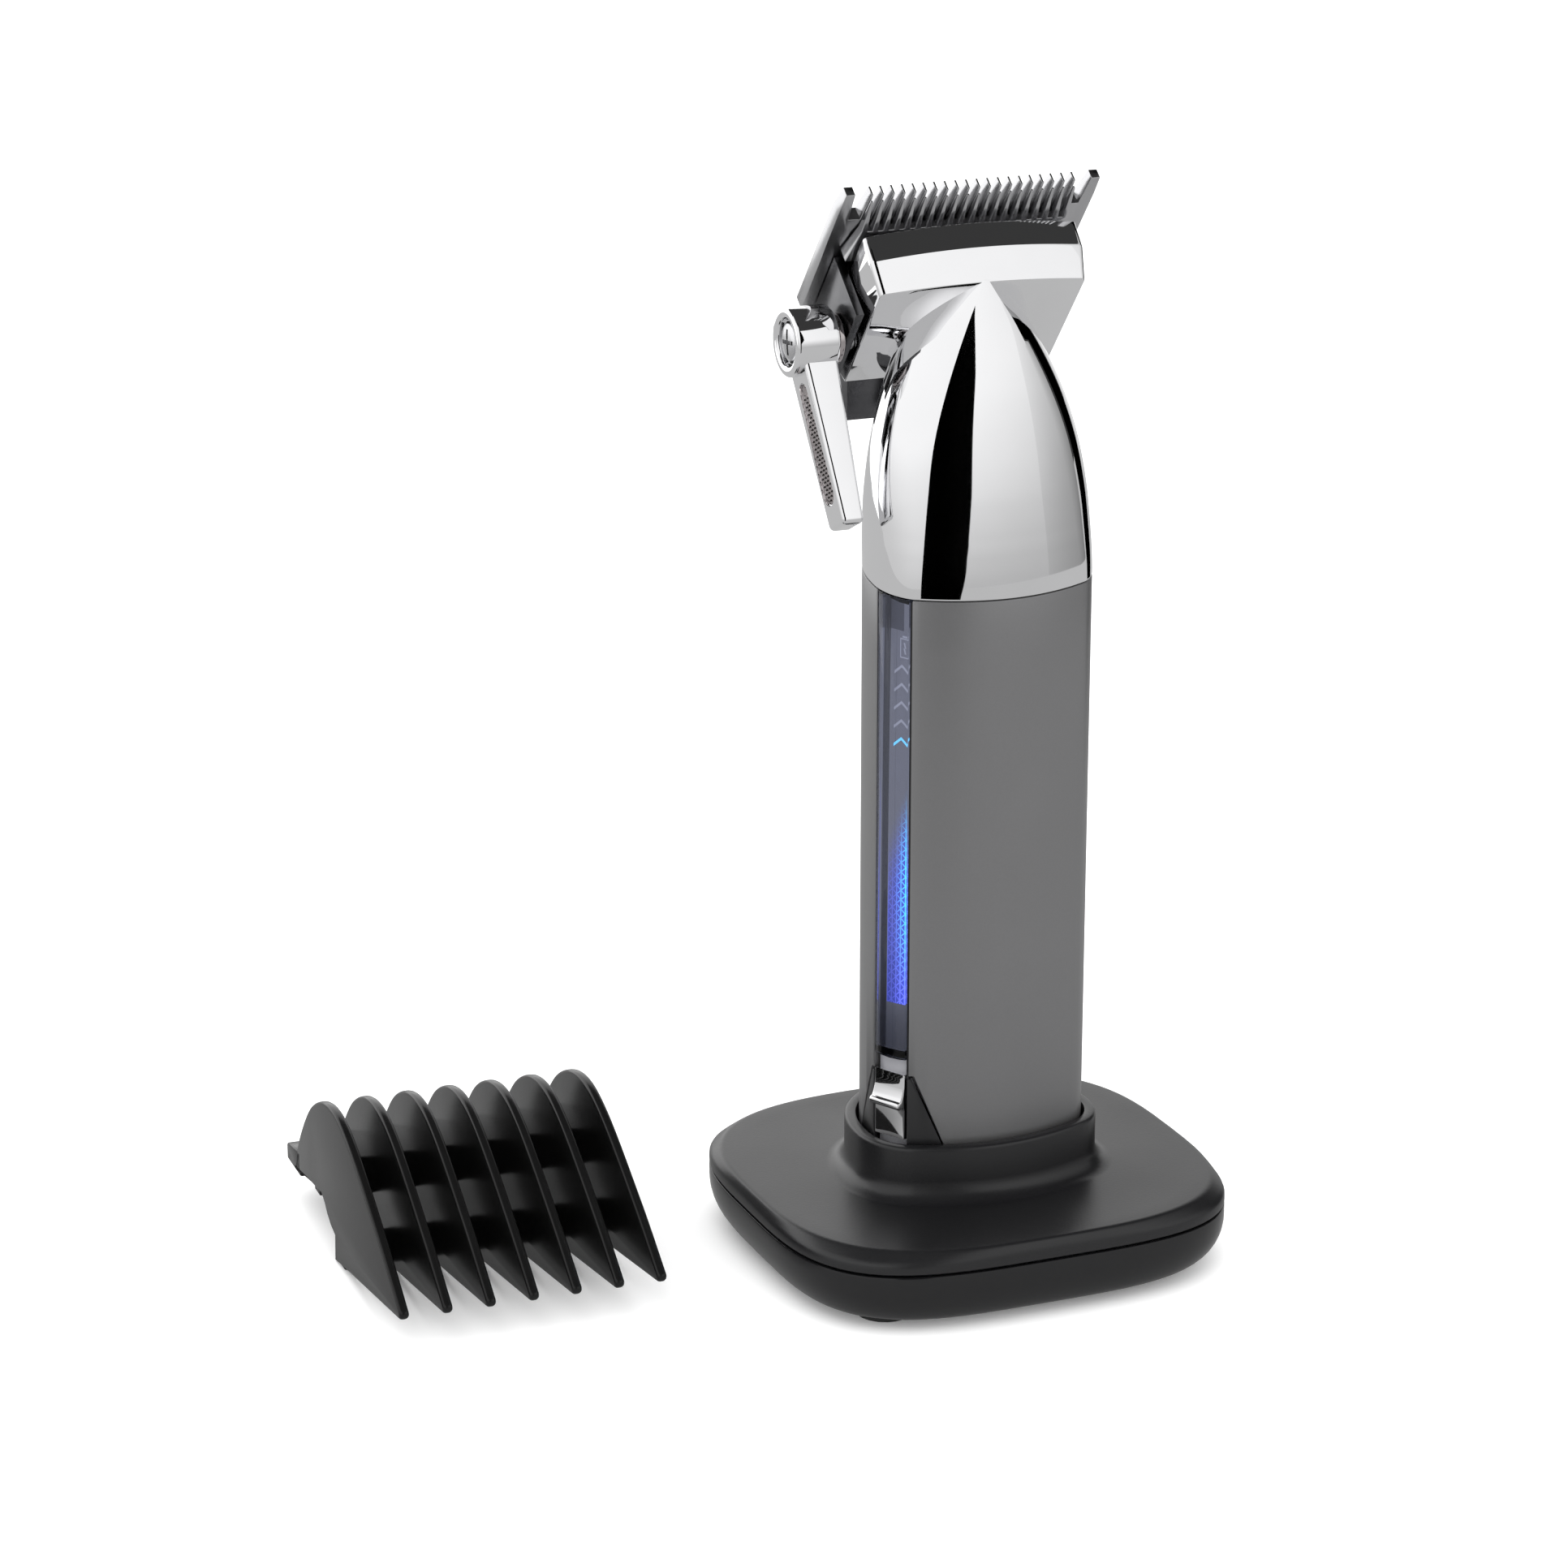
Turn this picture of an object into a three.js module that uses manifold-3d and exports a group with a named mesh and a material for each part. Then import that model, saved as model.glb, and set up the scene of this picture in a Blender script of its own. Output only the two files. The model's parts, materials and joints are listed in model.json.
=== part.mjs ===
// Cordless hair clipper standing in its charging stand, with one guard comb lying beside it.
// Millimetres, +Z up, -Y is the plain front of the clipper and -X the side of its taper lever and window.
// Heights below are counted from the table. The whole model is lowered at the end, so that its origin is
// the middle of the stand's flat underside and the rubber feet reach a little below it.
import * as THREE from 'three';
import { mergeVertices } from 'three/addons/utils/BufferGeometryUtils.js';
import Module from 'manifold-3d';

const wasm = await Module();
wasm.setup();

// ---------------------------------------------------------------- driving dimensions
const gap = 0.3;                  // between pieces that touch or are pushed together
const wall = 1.6;                 // plastic and cast walls

const stand = {
  halfX: 39.9, halfY: 37.4, corner: 3.6,      // squircle outline at the parting line
  partingZ: 10.6, shoulderZ: 12.9, topZ: 14.5, topCorner: 3.05, chamfer: 0.5,
  bottomZ: 0.8, bottomInset: 6, floor: 2,
  rimZ: 23.7, rimWall: 2.0, footFillet: 3.2,
  socketFloorZ: 8.4, socketFloor: 1.6, fit: 0.5,
};
const foot = { radius: 5, x: 25, y: 23.5, recess: 1.4 };
const baseScrew = { x: 30.5, y: 9, headRadius: 2.4, head: 1.6, shankRadius: 1.2, length: 8 };
const ballast = { halfX: 17, halfY: 17, thickness: 2.6 };
const contact = { x: 6, y: 0, radius: 1.5, top: 0.5, padRadius: 2.6 };
const inlet = { halfX: 4.6, height: 6.4, depth: 11, bore: 2.9, pin: 0.95, z: 2.95 };
const standBoard = { halfX: 15, depth: 7, thickness: 1.2 };

// one cross-section serves the body, the end cap, the collar and the foot of the neck
const body = {
  halfWidth: 19, front: -14.9, back: 15.5, creaseX: 15.4, creaseY: -11.2, widestY: -4.2,
  bottomZ: 8.8, capTopZ: 18, seamZ: 118.2, seamSlope: 0.115,
};
// the neck narrows from the seam up to the point of its front panel; rise is counted from the seam
const neckLevels = [
  { rise: 6.8, halfWidth: 19, front: -14.3, back: 15.2, creaseX: 14.7, creaseY: -10.8, widestY: -3.6 },
  { rise: 14.8, halfWidth: 18.6, front: -13.1, back: 14.4, creaseX: 13.5, creaseY: -9.9, widestY: -2.6 },
  { rise: 23.8, halfWidth: 17.1, front: -11.4, back: 13.2, creaseX: 11.5, creaseY: -8.9, widestY: -1.2 },
  { rise: 32.8, halfWidth: 14.2, front: -9.4, back: 12.4, creaseX: 8.4, creaseY: -7.8, widestY: 0.6 },
  { rise: 41.8, halfWidth: 9.6, front: -6.9, back: 11.6, creaseX: 4.4, creaseY: -6.3, widestY: 2.4 },
  { rise: 47.2, halfWidth: 5.2, front: -4.9, back: 10.6, creaseX: 1.4, creaseY: -4.75, widestY: 3.4 },
];

// the head is laid out on the blade plane: u runs up the blades, w from the blades to the front
const head = {
  tilt: 40.3, tipY: 1.8, tipRise: 64.2,
  frontW: 14.5, rearW: 4.9, lipFrontU: -9.1, lipRearU: -6.2, arch: 1.5,
  halfFront: 18.1, halfRear: 18.8, endU: -31.5, pocketHalfX: 16.4, pocketTopU: -12, slotTopU: -9, slotW: 10,
};
const fixedBlade = { halfX: 22.5, length: 28.4, rearW: -1.2, thickness: 2.6, tooth: 6.2, horn: 2.2 };
const movingBlade = { halfX: 19.9, topU: -1, endU: -13, thickness: 2.6, tooth: 6.2 };
const teeth = { pitch: 1.87, width: 0.95, tip: 0.35, margin: 1.2 };
const bladeScrew = { x: 11, u: -22.5, shankRadius: 1.5, headRadius: 2.7, head: 1.5 };

const strip = { gap: 0.7, width: 6.3, lensBottomZ: 38.3, lens: 1.5, panelDrop: 12.2, boardDrop: 10.2 };
const bracket = { halfX: 16.7, frontY: 13.3, rearY: 19.2, bottomRise: 23.8, topRise: 38.3, cheek: 1.3, endU: -33 };
const cutterSlide = { stroke: 1 };

const lever = {
  axisU: -23.8, axisW: 11.3, bossRadius: 5.7, bossOuterX: -29.6, bossInnerX: -22.2,
  recess: 1.6, recessRadius: 3.9, axleRadius: 2, screwRadius: 3.2, camRadius: 4.2,
  arm: 31, lean: 25.5, rootOuterX: -28.4, tipOuterX: -26.2, armInnerX: -22.4,
  rootHalf: 3.6, tipHalf: 3.2, panelTop: 7, panelEnd: 4, panelHalf: 1.9,
};
const slider = { topZ: 35.7, bottomZ: 24.2, ridgeZ: 30.4, ridge: 1.3, proud: 0.5 };
const wedge = { topZ: 35, width: 8.2 };

const battery = { radius: 9.2, x: 4.2, y: 2.4, z: 22, headroom: 4, capRadius: 2.8 };
const motor = { radius: 11.2, length: 28, y: 1, topRise: 0.8, bearingRadius: 3 };
const eccentric = { radius: 5, thickness: 3, offset: 1.2, pinRadius: 1.2, pin: 4.5, shaftRadius: 1.1, above: 4.6 };

const comb = { tipX: -103.9, tipY: -11.2, tipZ: 7, turn: -2.2, count: 7, pitch: 7.3, rib: 1.7 };

const round = { coarse: 16, fine: 28 };

// ---------------------------------------------------------------- shape helpers
function solid(geometry) {
  const plain = geometry.clone();
  plain.deleteAttribute('normal');
  plain.deleteAttribute('uv');
  const merged = mergeVertices(plain, 1e-4);
  return new wasm.Manifold(new wasm.Mesh({
    numProp: 3,
    vertProperties: new Float32Array(merged.attributes.position.array),
    triVerts: new Uint32Array(merged.index.array),
  }));
}

function fromSolid(manifold) {
  const mesh = manifold.getMesh();
  const geometry = new THREE.BufferGeometry();
  geometry.setAttribute('position', new THREE.BufferAttribute(new Float32Array(mesh.vertProperties), 3));
  geometry.setIndex(new THREE.BufferAttribute(new Uint32Array(mesh.triVerts), 1));
  return geometry;
}

const join = (...parts) => fromSolid(parts.map(solid).reduce((a, b) => a.add(b)));
const cut = (part, ...tools) => fromSolid(tools.map(solid).reduce((a, b) => a.subtract(b), solid(part)));
const common = (a, b) => fromSolid(solid(a).intersect(solid(b)));

function block(x0, x1, y0, y1, z0, z1) {
  return new THREE.BoxGeometry(x1 - x0, y1 - y0, z1 - z0).translate((x0 + x1) / 2, (y0 + y1) / 2, (z0 + z1) / 2);
}

// a cylinder or cone standing on (x, y, z0); radiusTop defaults to the same radius
function rod(radius, x, y, z0, z1, segments = round.coarse, radiusTop = radius) {
  return new THREE.CylinderGeometry(radiusTop, radius, z1 - z0, segments)
    .rotateX(Math.PI / 2).translate(x, y, (z0 + z1) / 2);
}

// the same, lying along X
function rodX(radius, y, z, x0, x1, segments = round.coarse) {
  return new THREE.CylinderGeometry(radius, radius, x1 - x0, segments)
    .rotateZ(Math.PI / 2).translate((x0 + x1) / 2, y, z);
}

function prism(outline, z0, z1) {
  const shape = new THREE.Shape(outline.map(([x, y]) => new THREE.Vector2(x, y)));
  return new THREE.ExtrudeGeometry(shape, { depth: z1 - z0, bevelEnabled: false }).translate(0, 0, z0);
}

// an outline drawn in Y and Z, extruded along X
function sidePrism(outline, x0, x1) {
  const geometry = prism(outline, x0, x1);
  geometry.applyMatrix4(new THREE.Matrix4().set(0, 0, 1, 0, 1, 0, 0, 0, 0, 1, 0, 0, 0, 0, 0, 1));
  return geometry;
}

// a closed skin over rings of equally many points, each ring counter-clockwise from above
function loft(rings) {
  const count = rings[0].length;
  const last = (rings.length - 1) * count;
  const middle = (ring) => ring.reduce((sum, p) => sum.add(p), new THREE.Vector3()).divideScalar(count);
  const points = [...rings.flat(), middle(rings[0]), middle(rings.at(-1))];
  const bottom = points.length - 2;
  const top = points.length - 1;
  const index = [];
  for (let r = 0; r < rings.length - 1; r++) {
    for (let i = 0; i < count; i++) {
      const a = r * count + i;
      const b = r * count + (i + 1) % count;
      index.push(a, b, b + count, a, b + count, a + count);
    }
  }
  for (let i = 0; i < count; i++) {
    const j = (i + 1) % count;
    index.push(bottom, j, i, top, last + i, last + j);
  }
  const geometry = new THREE.BufferGeometry().setFromPoints(points);
  geometry.setIndex(index);
  return geometry;
}

// moves every point of a flat closed outline outwards
function grown(outline, distance) {
  return outline.map(([x, y], i) => {
    const [px, py] = outline.at(i - 1);
    const [nx, ny] = outline[(i + 1) % outline.length];
    const length = Math.hypot(nx - px, ny - py);
    return [x + (ny - py) / length * distance, y - (nx - px) / length * distance];
  });
}

const ringAt = (outline, z) => outline.map(([x, y]) => new THREE.Vector3(x, y, typeof z === 'function' ? z(y) : z));

function squircle(halfX, halfY, power, count = 48) {
  return Array.from({ length: count }, (_, i) => {
    const angle = (i + 0.5) / count * 2 * Math.PI;
    const x = Math.cos(angle);
    const y = Math.sin(angle);
    return [halfX * Math.sign(x) * Math.abs(x) ** (2 / power), halfY * Math.sign(y) * Math.abs(y) ** (2 / power)];
  });
}

// the clipper's section: a shallow front arc, a crease, a flat corner facet and a round back
function section(s, grow = 0) {
  const half = [];
  for (let i = 0; i <= 4; i++) {
    const t = i / 4;
    half.push([s.creaseX * t, s.front + (s.creaseY - s.front) * t * t]);
  }
  const control = [s.halfWidth - 0.11 * (s.halfWidth - s.creaseX), s.creaseY + 0.33 * (s.widestY - s.creaseY)];
  for (let i = 1; i <= 4; i++) {
    const t = i / 4;
    const blend = (a, b, c) => (1 - t) ** 2 * a + 2 * t * (1 - t) * b + t * t * c;
    half.push([blend(s.creaseX, control[0], s.halfWidth), blend(s.creaseY, control[1], s.widestY)]);
  }
  for (let i = 1; i <= 10; i++) {
    const angle = i / 10 * Math.PI / 2;
    const x = s.halfWidth * Math.cos(angle) ** (2 / 2.3);
    half.push([i === 10 ? 0 : x, s.widestY + (s.back - s.widestY) * Math.sin(angle) ** (2 / 2.3)]);
  }
  const mirrored = half.slice(1, -1).reverse().map(([x, y]) => [-x, y]);
  return grown([...half, ...mirrored], grow);
}

const seamHeight = (y) => body.seamZ + body.seamSlope * (y - body.widestY);
const aboveSeam = body.seamZ + 22;
const tipZ = body.seamZ + head.tipRise;
const bracketBottomZ = body.seamZ + bracket.bottomRise;
const bracketTopZ = body.seamZ + bracket.topRise;
const motorTop = body.seamZ + motor.topRise;
const motorBottom = motorTop - motor.length;
const batteryTop = motorBottom - battery.headroom;

const headMatrix = new THREE.Matrix4()
  .makeRotationX(THREE.MathUtils.degToRad(90 + head.tilt))
  .setPosition(0, head.tipY, tipZ);
const inHead = (geometry) => geometry.applyMatrix4(headMatrix);
const headPoint = (x, u, w) => new THREE.Vector3(x, u, w).applyMatrix4(headMatrix);

// ---------------------------------------------------------------- materials and scene
const paint = (color, roughness, metalness = 0) => new THREE.MeshStandardMaterial({ color, roughness, metalness });
const finish = {
  blackPlastic: paint(0x151516, 0.35),
  blackSatin: paint(0x1b1b1d, 0.55),
  gunmetal: paint(0x6c6c6e, 0.38, 0.5),
  chrome: paint(0xdadcde, 0.06, 1),
  darkChrome: paint(0x5a5555, 0.15, 1),
  steel: paint(0xb4b6b8, 0.28, 1),
  darkSteel: paint(0x3c3c3f, 0.35, 1),
  lens: paint(0x1c2340, 0.08),
  glow: paint(0x2f6fe0, 0.5),
  board: paint(0x16502c, 0.6),
  rubber: paint(0x101010, 0.9),
  gold: paint(0xc9a24b, 0.3, 1),
  batteryWrap: paint(0x2c6f8f, 0.5),
  greyPlastic: paint(0x8a8c90, 0.5),
};

const model = new THREE.Group();
const headGroup = new THREE.Group();
headGroup.position.set(0, head.tipY, tipZ);
headGroup.rotation.x = THREE.MathUtils.degToRad(90 + head.tilt);
model.add(headGroup);

function add(name, geometry, material, group = model) {
  const mesh = new THREE.Mesh(geometry, material);
  mesh.name = name;
  group.add(mesh);
  return mesh;
}

// ---------------------------------------------------------------- charging stand
const standRing = (inset, z, power = stand.corner) => ringAt(
  squircle(stand.halfX - inset, stand.halfY - inset, power), z);
const collarOutline = section(body, stand.fit + stand.rimWall);
const socketOutline = section(body, stand.fit);
const screwSpots = [[1, 1], [-1, 1], [-1, -1], [1, -1]].map(([i, j]) => [i * baseScrew.x, j * baseScrew.y]);
const footSpots = [[1, 1], [-1, 1], [-1, -1], [1, -1]].map(([i, j]) => [i * foot.x, j * foot.y]);
const contactSpots = [[contact.x, contact.y], [-contact.x, contact.y]];
const screwTopZ = stand.bottomZ + baseScrew.head + baseScrew.length;

function standTopShell() {
  const deck = loft([
    standRing(0, stand.partingZ + gap), standRing(0, stand.shoulderZ),
    standRing(stand.chamfer, stand.topZ - 0.3, stand.topCorner),
    standRing(stand.chamfer + 0.5, stand.topZ, stand.topCorner),
  ]);
  const foots = [0, 0.35, 0.7, 1].map((t) => {
    const spread = stand.footFillet * (1 - Math.sin(t * Math.PI / 2));
    return ringAt(grown(collarOutline, spread), stand.topZ - 0.2 + stand.footFillet * (1 - Math.cos(t * Math.PI / 2)));
  });
  const collar = loft([
    ...foots, ringAt(collarOutline, stand.rimZ - 0.8), ringAt(grown(collarOutline, -0.8), stand.rimZ),
  ]);
  const tubBottom = stand.socketFloorZ - stand.socketFloor;
  const tub = loft([ringAt(collarOutline, tubBottom), ringAt(collarOutline, stand.topZ - 1)]);
  const bosses = screwSpots.map(([x, y]) => rod(3, x, y, screwTopZ - 6, stand.topZ - 1));
  const hollow = loft([standRing(2, stand.partingZ - 1), standRing(2.6, stand.topZ - 2)]);
  const socket = loft([ringAt(socketOutline, stand.socketFloorZ), ringAt(socketOutline, stand.rimZ + 1)]);
  const holes = contactSpots.map(([x, y]) => rod(contact.radius + gap, x, y, tubBottom - 1, stand.socketFloorZ + 1));
  const pilots = screwSpots.map(([x, y]) => rod(baseScrew.shankRadius + gap, x, y, 0, screwTopZ + gap));
  return cut(join(cut(deck, hollow), collar, tub, ...bosses), socket, ...holes, ...pilots);
}

function standBaseShell() {
  const depth = stand.partingZ - stand.bottomZ;
  const levels = [0, 0.25, 0.5, 0.75, 1].map((t) => {
    const inset = stand.bottomInset * (1 - Math.sin(t * Math.PI / 2));
    return standRing(inset, stand.bottomZ + depth * 0.8 * (1 - Math.cos(t * Math.PI / 2)));
  });
  const outer = loft([...levels, standRing(0, stand.partingZ)]);
  const floorZ = stand.bottomZ + stand.floor;
  const hollow = loft([standRing(stand.bottomInset + 0.4, floorZ), standRing(2.2, floorZ + 4), standRing(2, 20)]);
  const recesses = footSpots.map(([x, y]) => rod(foot.radius + gap, x, y, 0, stand.bottomZ + foot.recess));
  const heads = screwSpots.map(([x, y]) => rod(baseScrew.headRadius + gap, x, y, 0, stand.bottomZ + baseScrew.head));
  const columns = screwSpots.map(([x, y]) => rod(baseScrew.headRadius + 1.2, x, y, stand.bottomZ + 0.4, floorZ + 0.6));
  const shanks = screwSpots.map(([x, y]) => rod(baseScrew.shankRadius + gap, x, y, 0, floorZ + 2));
  const door = block(-inlet.halfX - gap, inlet.halfX + gap, stand.halfY - 7, stand.halfY + 1,
    inlet.z - gap / 2, inlet.z + inlet.height + gap);
  return cut(join(cut(outer, hollow), ...columns), ...recesses, ...heads, ...shanks, door);
}

add('stand_top_shell', standTopShell(), finish.blackSatin);
add('stand_base_shell', standBaseShell(), finish.blackPlastic);
footSpots.forEach(([x, y], i) => {
  add(`foot_${i + 1}`, rod(foot.radius, x, y, 0, stand.bottomZ + foot.recess - gap, 20), finish.rubber);
});
screwSpots.forEach(([x, y], i) => {
  const headTop = stand.bottomZ + baseScrew.head - gap;
  const shape = join(rod(baseScrew.headRadius, x, y, stand.bottomZ + 0.1, headTop),
    rod(baseScrew.shankRadius, x, y, headTop - 0.2, screwTopZ - gap, 12));
  add(`base_screw_${i + 1}`, shape, finish.steel);
});
const ballastZ = stand.bottomZ + stand.floor + gap;
add('ballast_plate', block(-ballast.halfX, ballast.halfX, -ballast.halfY, ballast.halfY,
  ballastZ, ballastZ + ballast.thickness), finish.darkSteel);
contactSpots.forEach(([x, y], i) => {
  const under = stand.socketFloorZ - stand.socketFloor - gap;
  const shape = join(rod(contact.radius, x, y, under, stand.socketFloorZ + contact.top - 0.3),
    rod(contact.radius, x, y, stand.socketFloorZ + contact.top - 0.4, stand.socketFloorZ + contact.top,
      round.coarse, contact.radius * 0.6));
  add(`charging_contact_${i + 1}`, shape, finish.gold);
});

function chargingInlet() {
  const rear = stand.halfY - 1.2;
  const middle = inlet.z + inlet.height / 2;
  const shell = block(-inlet.halfX, inlet.halfX, rear - inlet.depth, rear, inlet.z, inlet.z + inlet.height);
  const bore = rod(inlet.bore, 0, 0, 0, inlet.depth, 20).rotateX(-Math.PI / 2).translate(0, rear - inlet.depth + 2, middle);
  const pin = rod(inlet.pin, 0, 0, 0, inlet.depth - 3, 12).rotateX(-Math.PI / 2).translate(0, rear - inlet.depth + 1.5, middle);
  return join(cut(shell, bore), pin);
}
add('charging_inlet', chargingInlet(), finish.blackPlastic);
const boardRear = stand.halfY - 1.2 - inlet.depth - gap;
add('stand_board', block(-standBoard.halfX, standBoard.halfX, boardRear - standBoard.depth + 1, boardRear,
  ballastZ, ballastZ + standBoard.thickness), finish.board);

// ---------------------------------------------------------------- clipper body
// a corner frame for the strip that carries the window and the switch
const creasePoint = new THREE.Vector2(-body.creaseX, body.creaseY);
const sidePoint = new THREE.Vector2(-body.halfWidth, body.widestY);
const stripAngle = Math.atan2(sidePoint.y - creasePoint.y, sidePoint.x - creasePoint.x);
// a box in the strip's frame: t from the crease towards the lever side, n outwards
function stripBlock(t0, t1, n0, n1, z0, z1) {
  return block(t0, t1, n0, n1, z0, z1).rotateZ(stripAngle).translate(creasePoint.x, creasePoint.y, 0);
}

const lensT = [strip.gap, strip.gap + strip.width];

function wedgeCutter(spread) {
  const top = wedge.topZ + spread * 2;
  const low = body.capTopZ - 2 - spread;
  const front = prism([[-body.creaseX - 1, low], [-body.creaseX + wedge.width + spread, low],
    [-body.creaseX + 0.4 + spread, top], [-body.creaseX - 1, top]], 0, 12)
    .rotateX(Math.PI / 2).translate(0, body.creaseY + 5, 0);
  const side = sidePrism([[sidePoint.y - 1.6, low], [sidePoint.y - 1.6, top], [sidePoint.y + spread, top],
    [sidePoint.y + wedge.width + spread, low]], -body.halfWidth - 3, -body.halfWidth + 5);
  return [front, side];
}

const bodyInner = (grow = 0) => section(body, -wall + grow);

function bodyShell() {
  const low = body.capTopZ + gap;
  const outer = loft([ringAt(section(body), low), ringAt(section(body), seamHeight)]);
  const inner = loft([ringAt(bodyInner(), low - 5), ringAt(bodyInner(), aboveSeam)]);
  const slot = stripBlock(lensT[0] - gap, lensT[1] + gap, -5, 5, 0, aboveSeam);
  return cut(outer, inner, slot, ...wedgeCutter(gap));
}
add('body_shell', bodyShell(), finish.gunmetal);

function endCap() {
  const z = body.bottomZ;
  const outer = loft([
    ringAt(section(body, -2), z), ringAt(section(body, -0.6), z + 0.8), ringAt(section(body), z + 2.4),
    ringAt(section(body), body.capTopZ),
  ]);
  const hollow = loft([ringAt(section(body, -wall - 0.6), z + 2), ringAt(section(body, -wall - 0.6), body.capTopZ + 5)]);
  const shellHigh = loft([ringAt(section(body), body.capTopZ - 1), ringAt(section(body), wedge.topZ)]);
  const inner = loft([ringAt(bodyInner(), 0), ringAt(bodyInner(), 60)]);
  const slot = stripBlock(lensT[0] - gap, lensT[1] + gap, -5, 5, body.capTopZ, aboveSeam);
  const skin = cut(shellHigh, inner, slot);
  const [front, side] = wedgeCutter(0);
  const pads = contactSpots.map(([x, y]) => rod(contact.padRadius + gap, x, y, z - 1, z + 0.9));
  return cut(join(cut(outer, hollow), common(skin, front), common(skin, side)), ...pads);
}
add('end_cap', endCap(), finish.blackSatin);
contactSpots.forEach(([x, y], i) => {
  add(`charging_pad_${i + 1}`, rod(contact.padRadius, x, y, body.bottomZ + 0.4,
    body.bottomZ + 0.9 - gap / 2), finish.gold);
});

// the lens follows the body's own surface
const stripSkin = (depth, out = 0) => cut(
  loft([ringAt(section(body, out), 10), ringAt(section(body, out), seamHeight)]),
  loft([ringAt(section(body, -depth), 0), ringAt(section(body, -depth), aboveSeam)]),
);
add('window_lens', common(stripSkin(strip.lens),
  stripBlock(...lensT, -6, 6, strip.lensBottomZ, aboveSeam)), finish.lens);
add('light_panel', stripBlock(lensT[0] + 0.2, lensT[1] - 0.6, -3.4, -2.4, strip.lensBottomZ + 2,
  body.seamZ - strip.panelDrop), finish.glow);
add('circuit_board', stripBlock(-1.5, 9, -6, -4.6, strip.lensBottomZ + 3.7, body.seamZ - strip.boardDrop), finish.board);
add('switch_plate', common(stripSkin(strip.lens + 1.6, -1.1),
  stripBlock(...lensT, -6, 6, body.capTopZ + gap, strip.lensBottomZ - gap)), finish.greyPlastic);

function switchSlider() {
  const cover = common(stripSkin(0.8, slider.proud), stripBlock(lensT[0] + 0.1, lensT[1] - 0.1, -6, 6,
    slider.bottomZ, slider.topZ));
  const ridge = common(stripSkin(0.4, slider.proud + slider.ridge), stripBlock(lensT[0] + 0.1, lensT[1] - 0.1, -6, 6,
    slider.ridgeZ - 1.1, slider.ridgeZ + 1.1));
  return join(cover, ridge);
}
add('switch_slider', switchSlider(), finish.chrome);

// ---------------------------------------------------------------- inside the body
add('battery_cell', join(rod(battery.radius, battery.x, battery.y, battery.z, batteryTop, round.fine),
  rod(battery.capRadius, battery.x, battery.y, batteryTop - 0.2, batteryTop + 1.2)), finish.batteryWrap);
const shaftHole = rod(eccentric.shaftRadius + gap, 0, motor.y, motorTop - 8, motorTop + 8);
add('motor', cut(join(rod(motor.radius, 0, motor.y, motorBottom, motorTop, round.fine),
  rod(motor.bearingRadius, 0, motor.y, motorTop - 0.2, motorTop + 1.2)), shaftHole), finish.darkSteel);

function motorMount() {
  const inside = section(body, -wall - 2 - gap);
  const plate = loft([ringAt(inside, motorTop + gap), ringAt(inside, motorTop + gap + 2)]);
  const cup = cut(rod(motor.radius + 2, 0, motor.y, motorTop - 12, motorTop + gap + 0.2, round.fine),
    rod(motor.radius + gap, 0, motor.y, motorTop - 13, motorTop + gap, round.fine));
  const room = loft([ringAt(inside, motorBottom), ringAt(inside, aboveSeam)]);
  const lensRoom = stripBlock(-4, 12, -3.8, 6, motorBottom, body.seamZ - 1.2);
  return cut(join(plate, common(cup, room)), rod(motor.bearingRadius + 0.6, 0, motor.y, motorTop - 1, motorTop + 6, 20), lensRoom);
}
add('motor_mount', motorMount(), finish.blackPlastic);

function motorShaft() {
  const disc = motorTop + eccentric.above;
  return join(
    rod(eccentric.shaftRadius, 0, motor.y, motorTop - 6, disc + 0.5, 16),
    rod(eccentric.radius, 0, motor.y, disc, disc + eccentric.thickness, 24),
    rod(eccentric.pinRadius, 0, motor.y - eccentric.offset, disc + eccentric.thickness - 0.2,
      disc + eccentric.thickness + eccentric.pin, 16),
  );
}
add('motor_shaft', motorShaft(), finish.steel);

function jointRing() {
  const grow = -wall - gap * 1.5;
  const outer = loft([ringAt(section(body, grow), (y) => seamHeight(y) - 1.6),
    ringAt(section(body, grow), seamHeight), ringAt(section(body, grow - 0.8), (y) => seamHeight(y) + 1.6)]);
  const inner = loft([ringAt(section(body, grow - 1.2), body.seamZ - 18), ringAt(section(body, grow - 1.2), aboveSeam)]);
  return cut(outer, inner);
}
add('joint_ring', jointRing(), finish.blackPlastic);

// ---------------------------------------------------------------- chrome head housing
const slabRing = (w, lipU, halfX, endU, arch) => {
  const outline = [];
  for (let i = 0; i <= 12; i++) {
    const t = 1 - i / 6;
    outline.push(new THREE.Vector3(halfX * t, lipU + arch * (1 - t * t), w));
  }
  outline.push(new THREE.Vector3(-halfX, endU, w), new THREE.Vector3(halfX, endU, w));
  return outline;
};

function neck(grow, bottom, levels) {
  const foot = grow < 0 ? ringAt(section(body, grow), bottom) : ringAt(section(body), bottom);
  return loft([foot, ...levels.map((level) => ringAt(section(level, grow), body.seamZ + level.rise))]);
}

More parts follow.
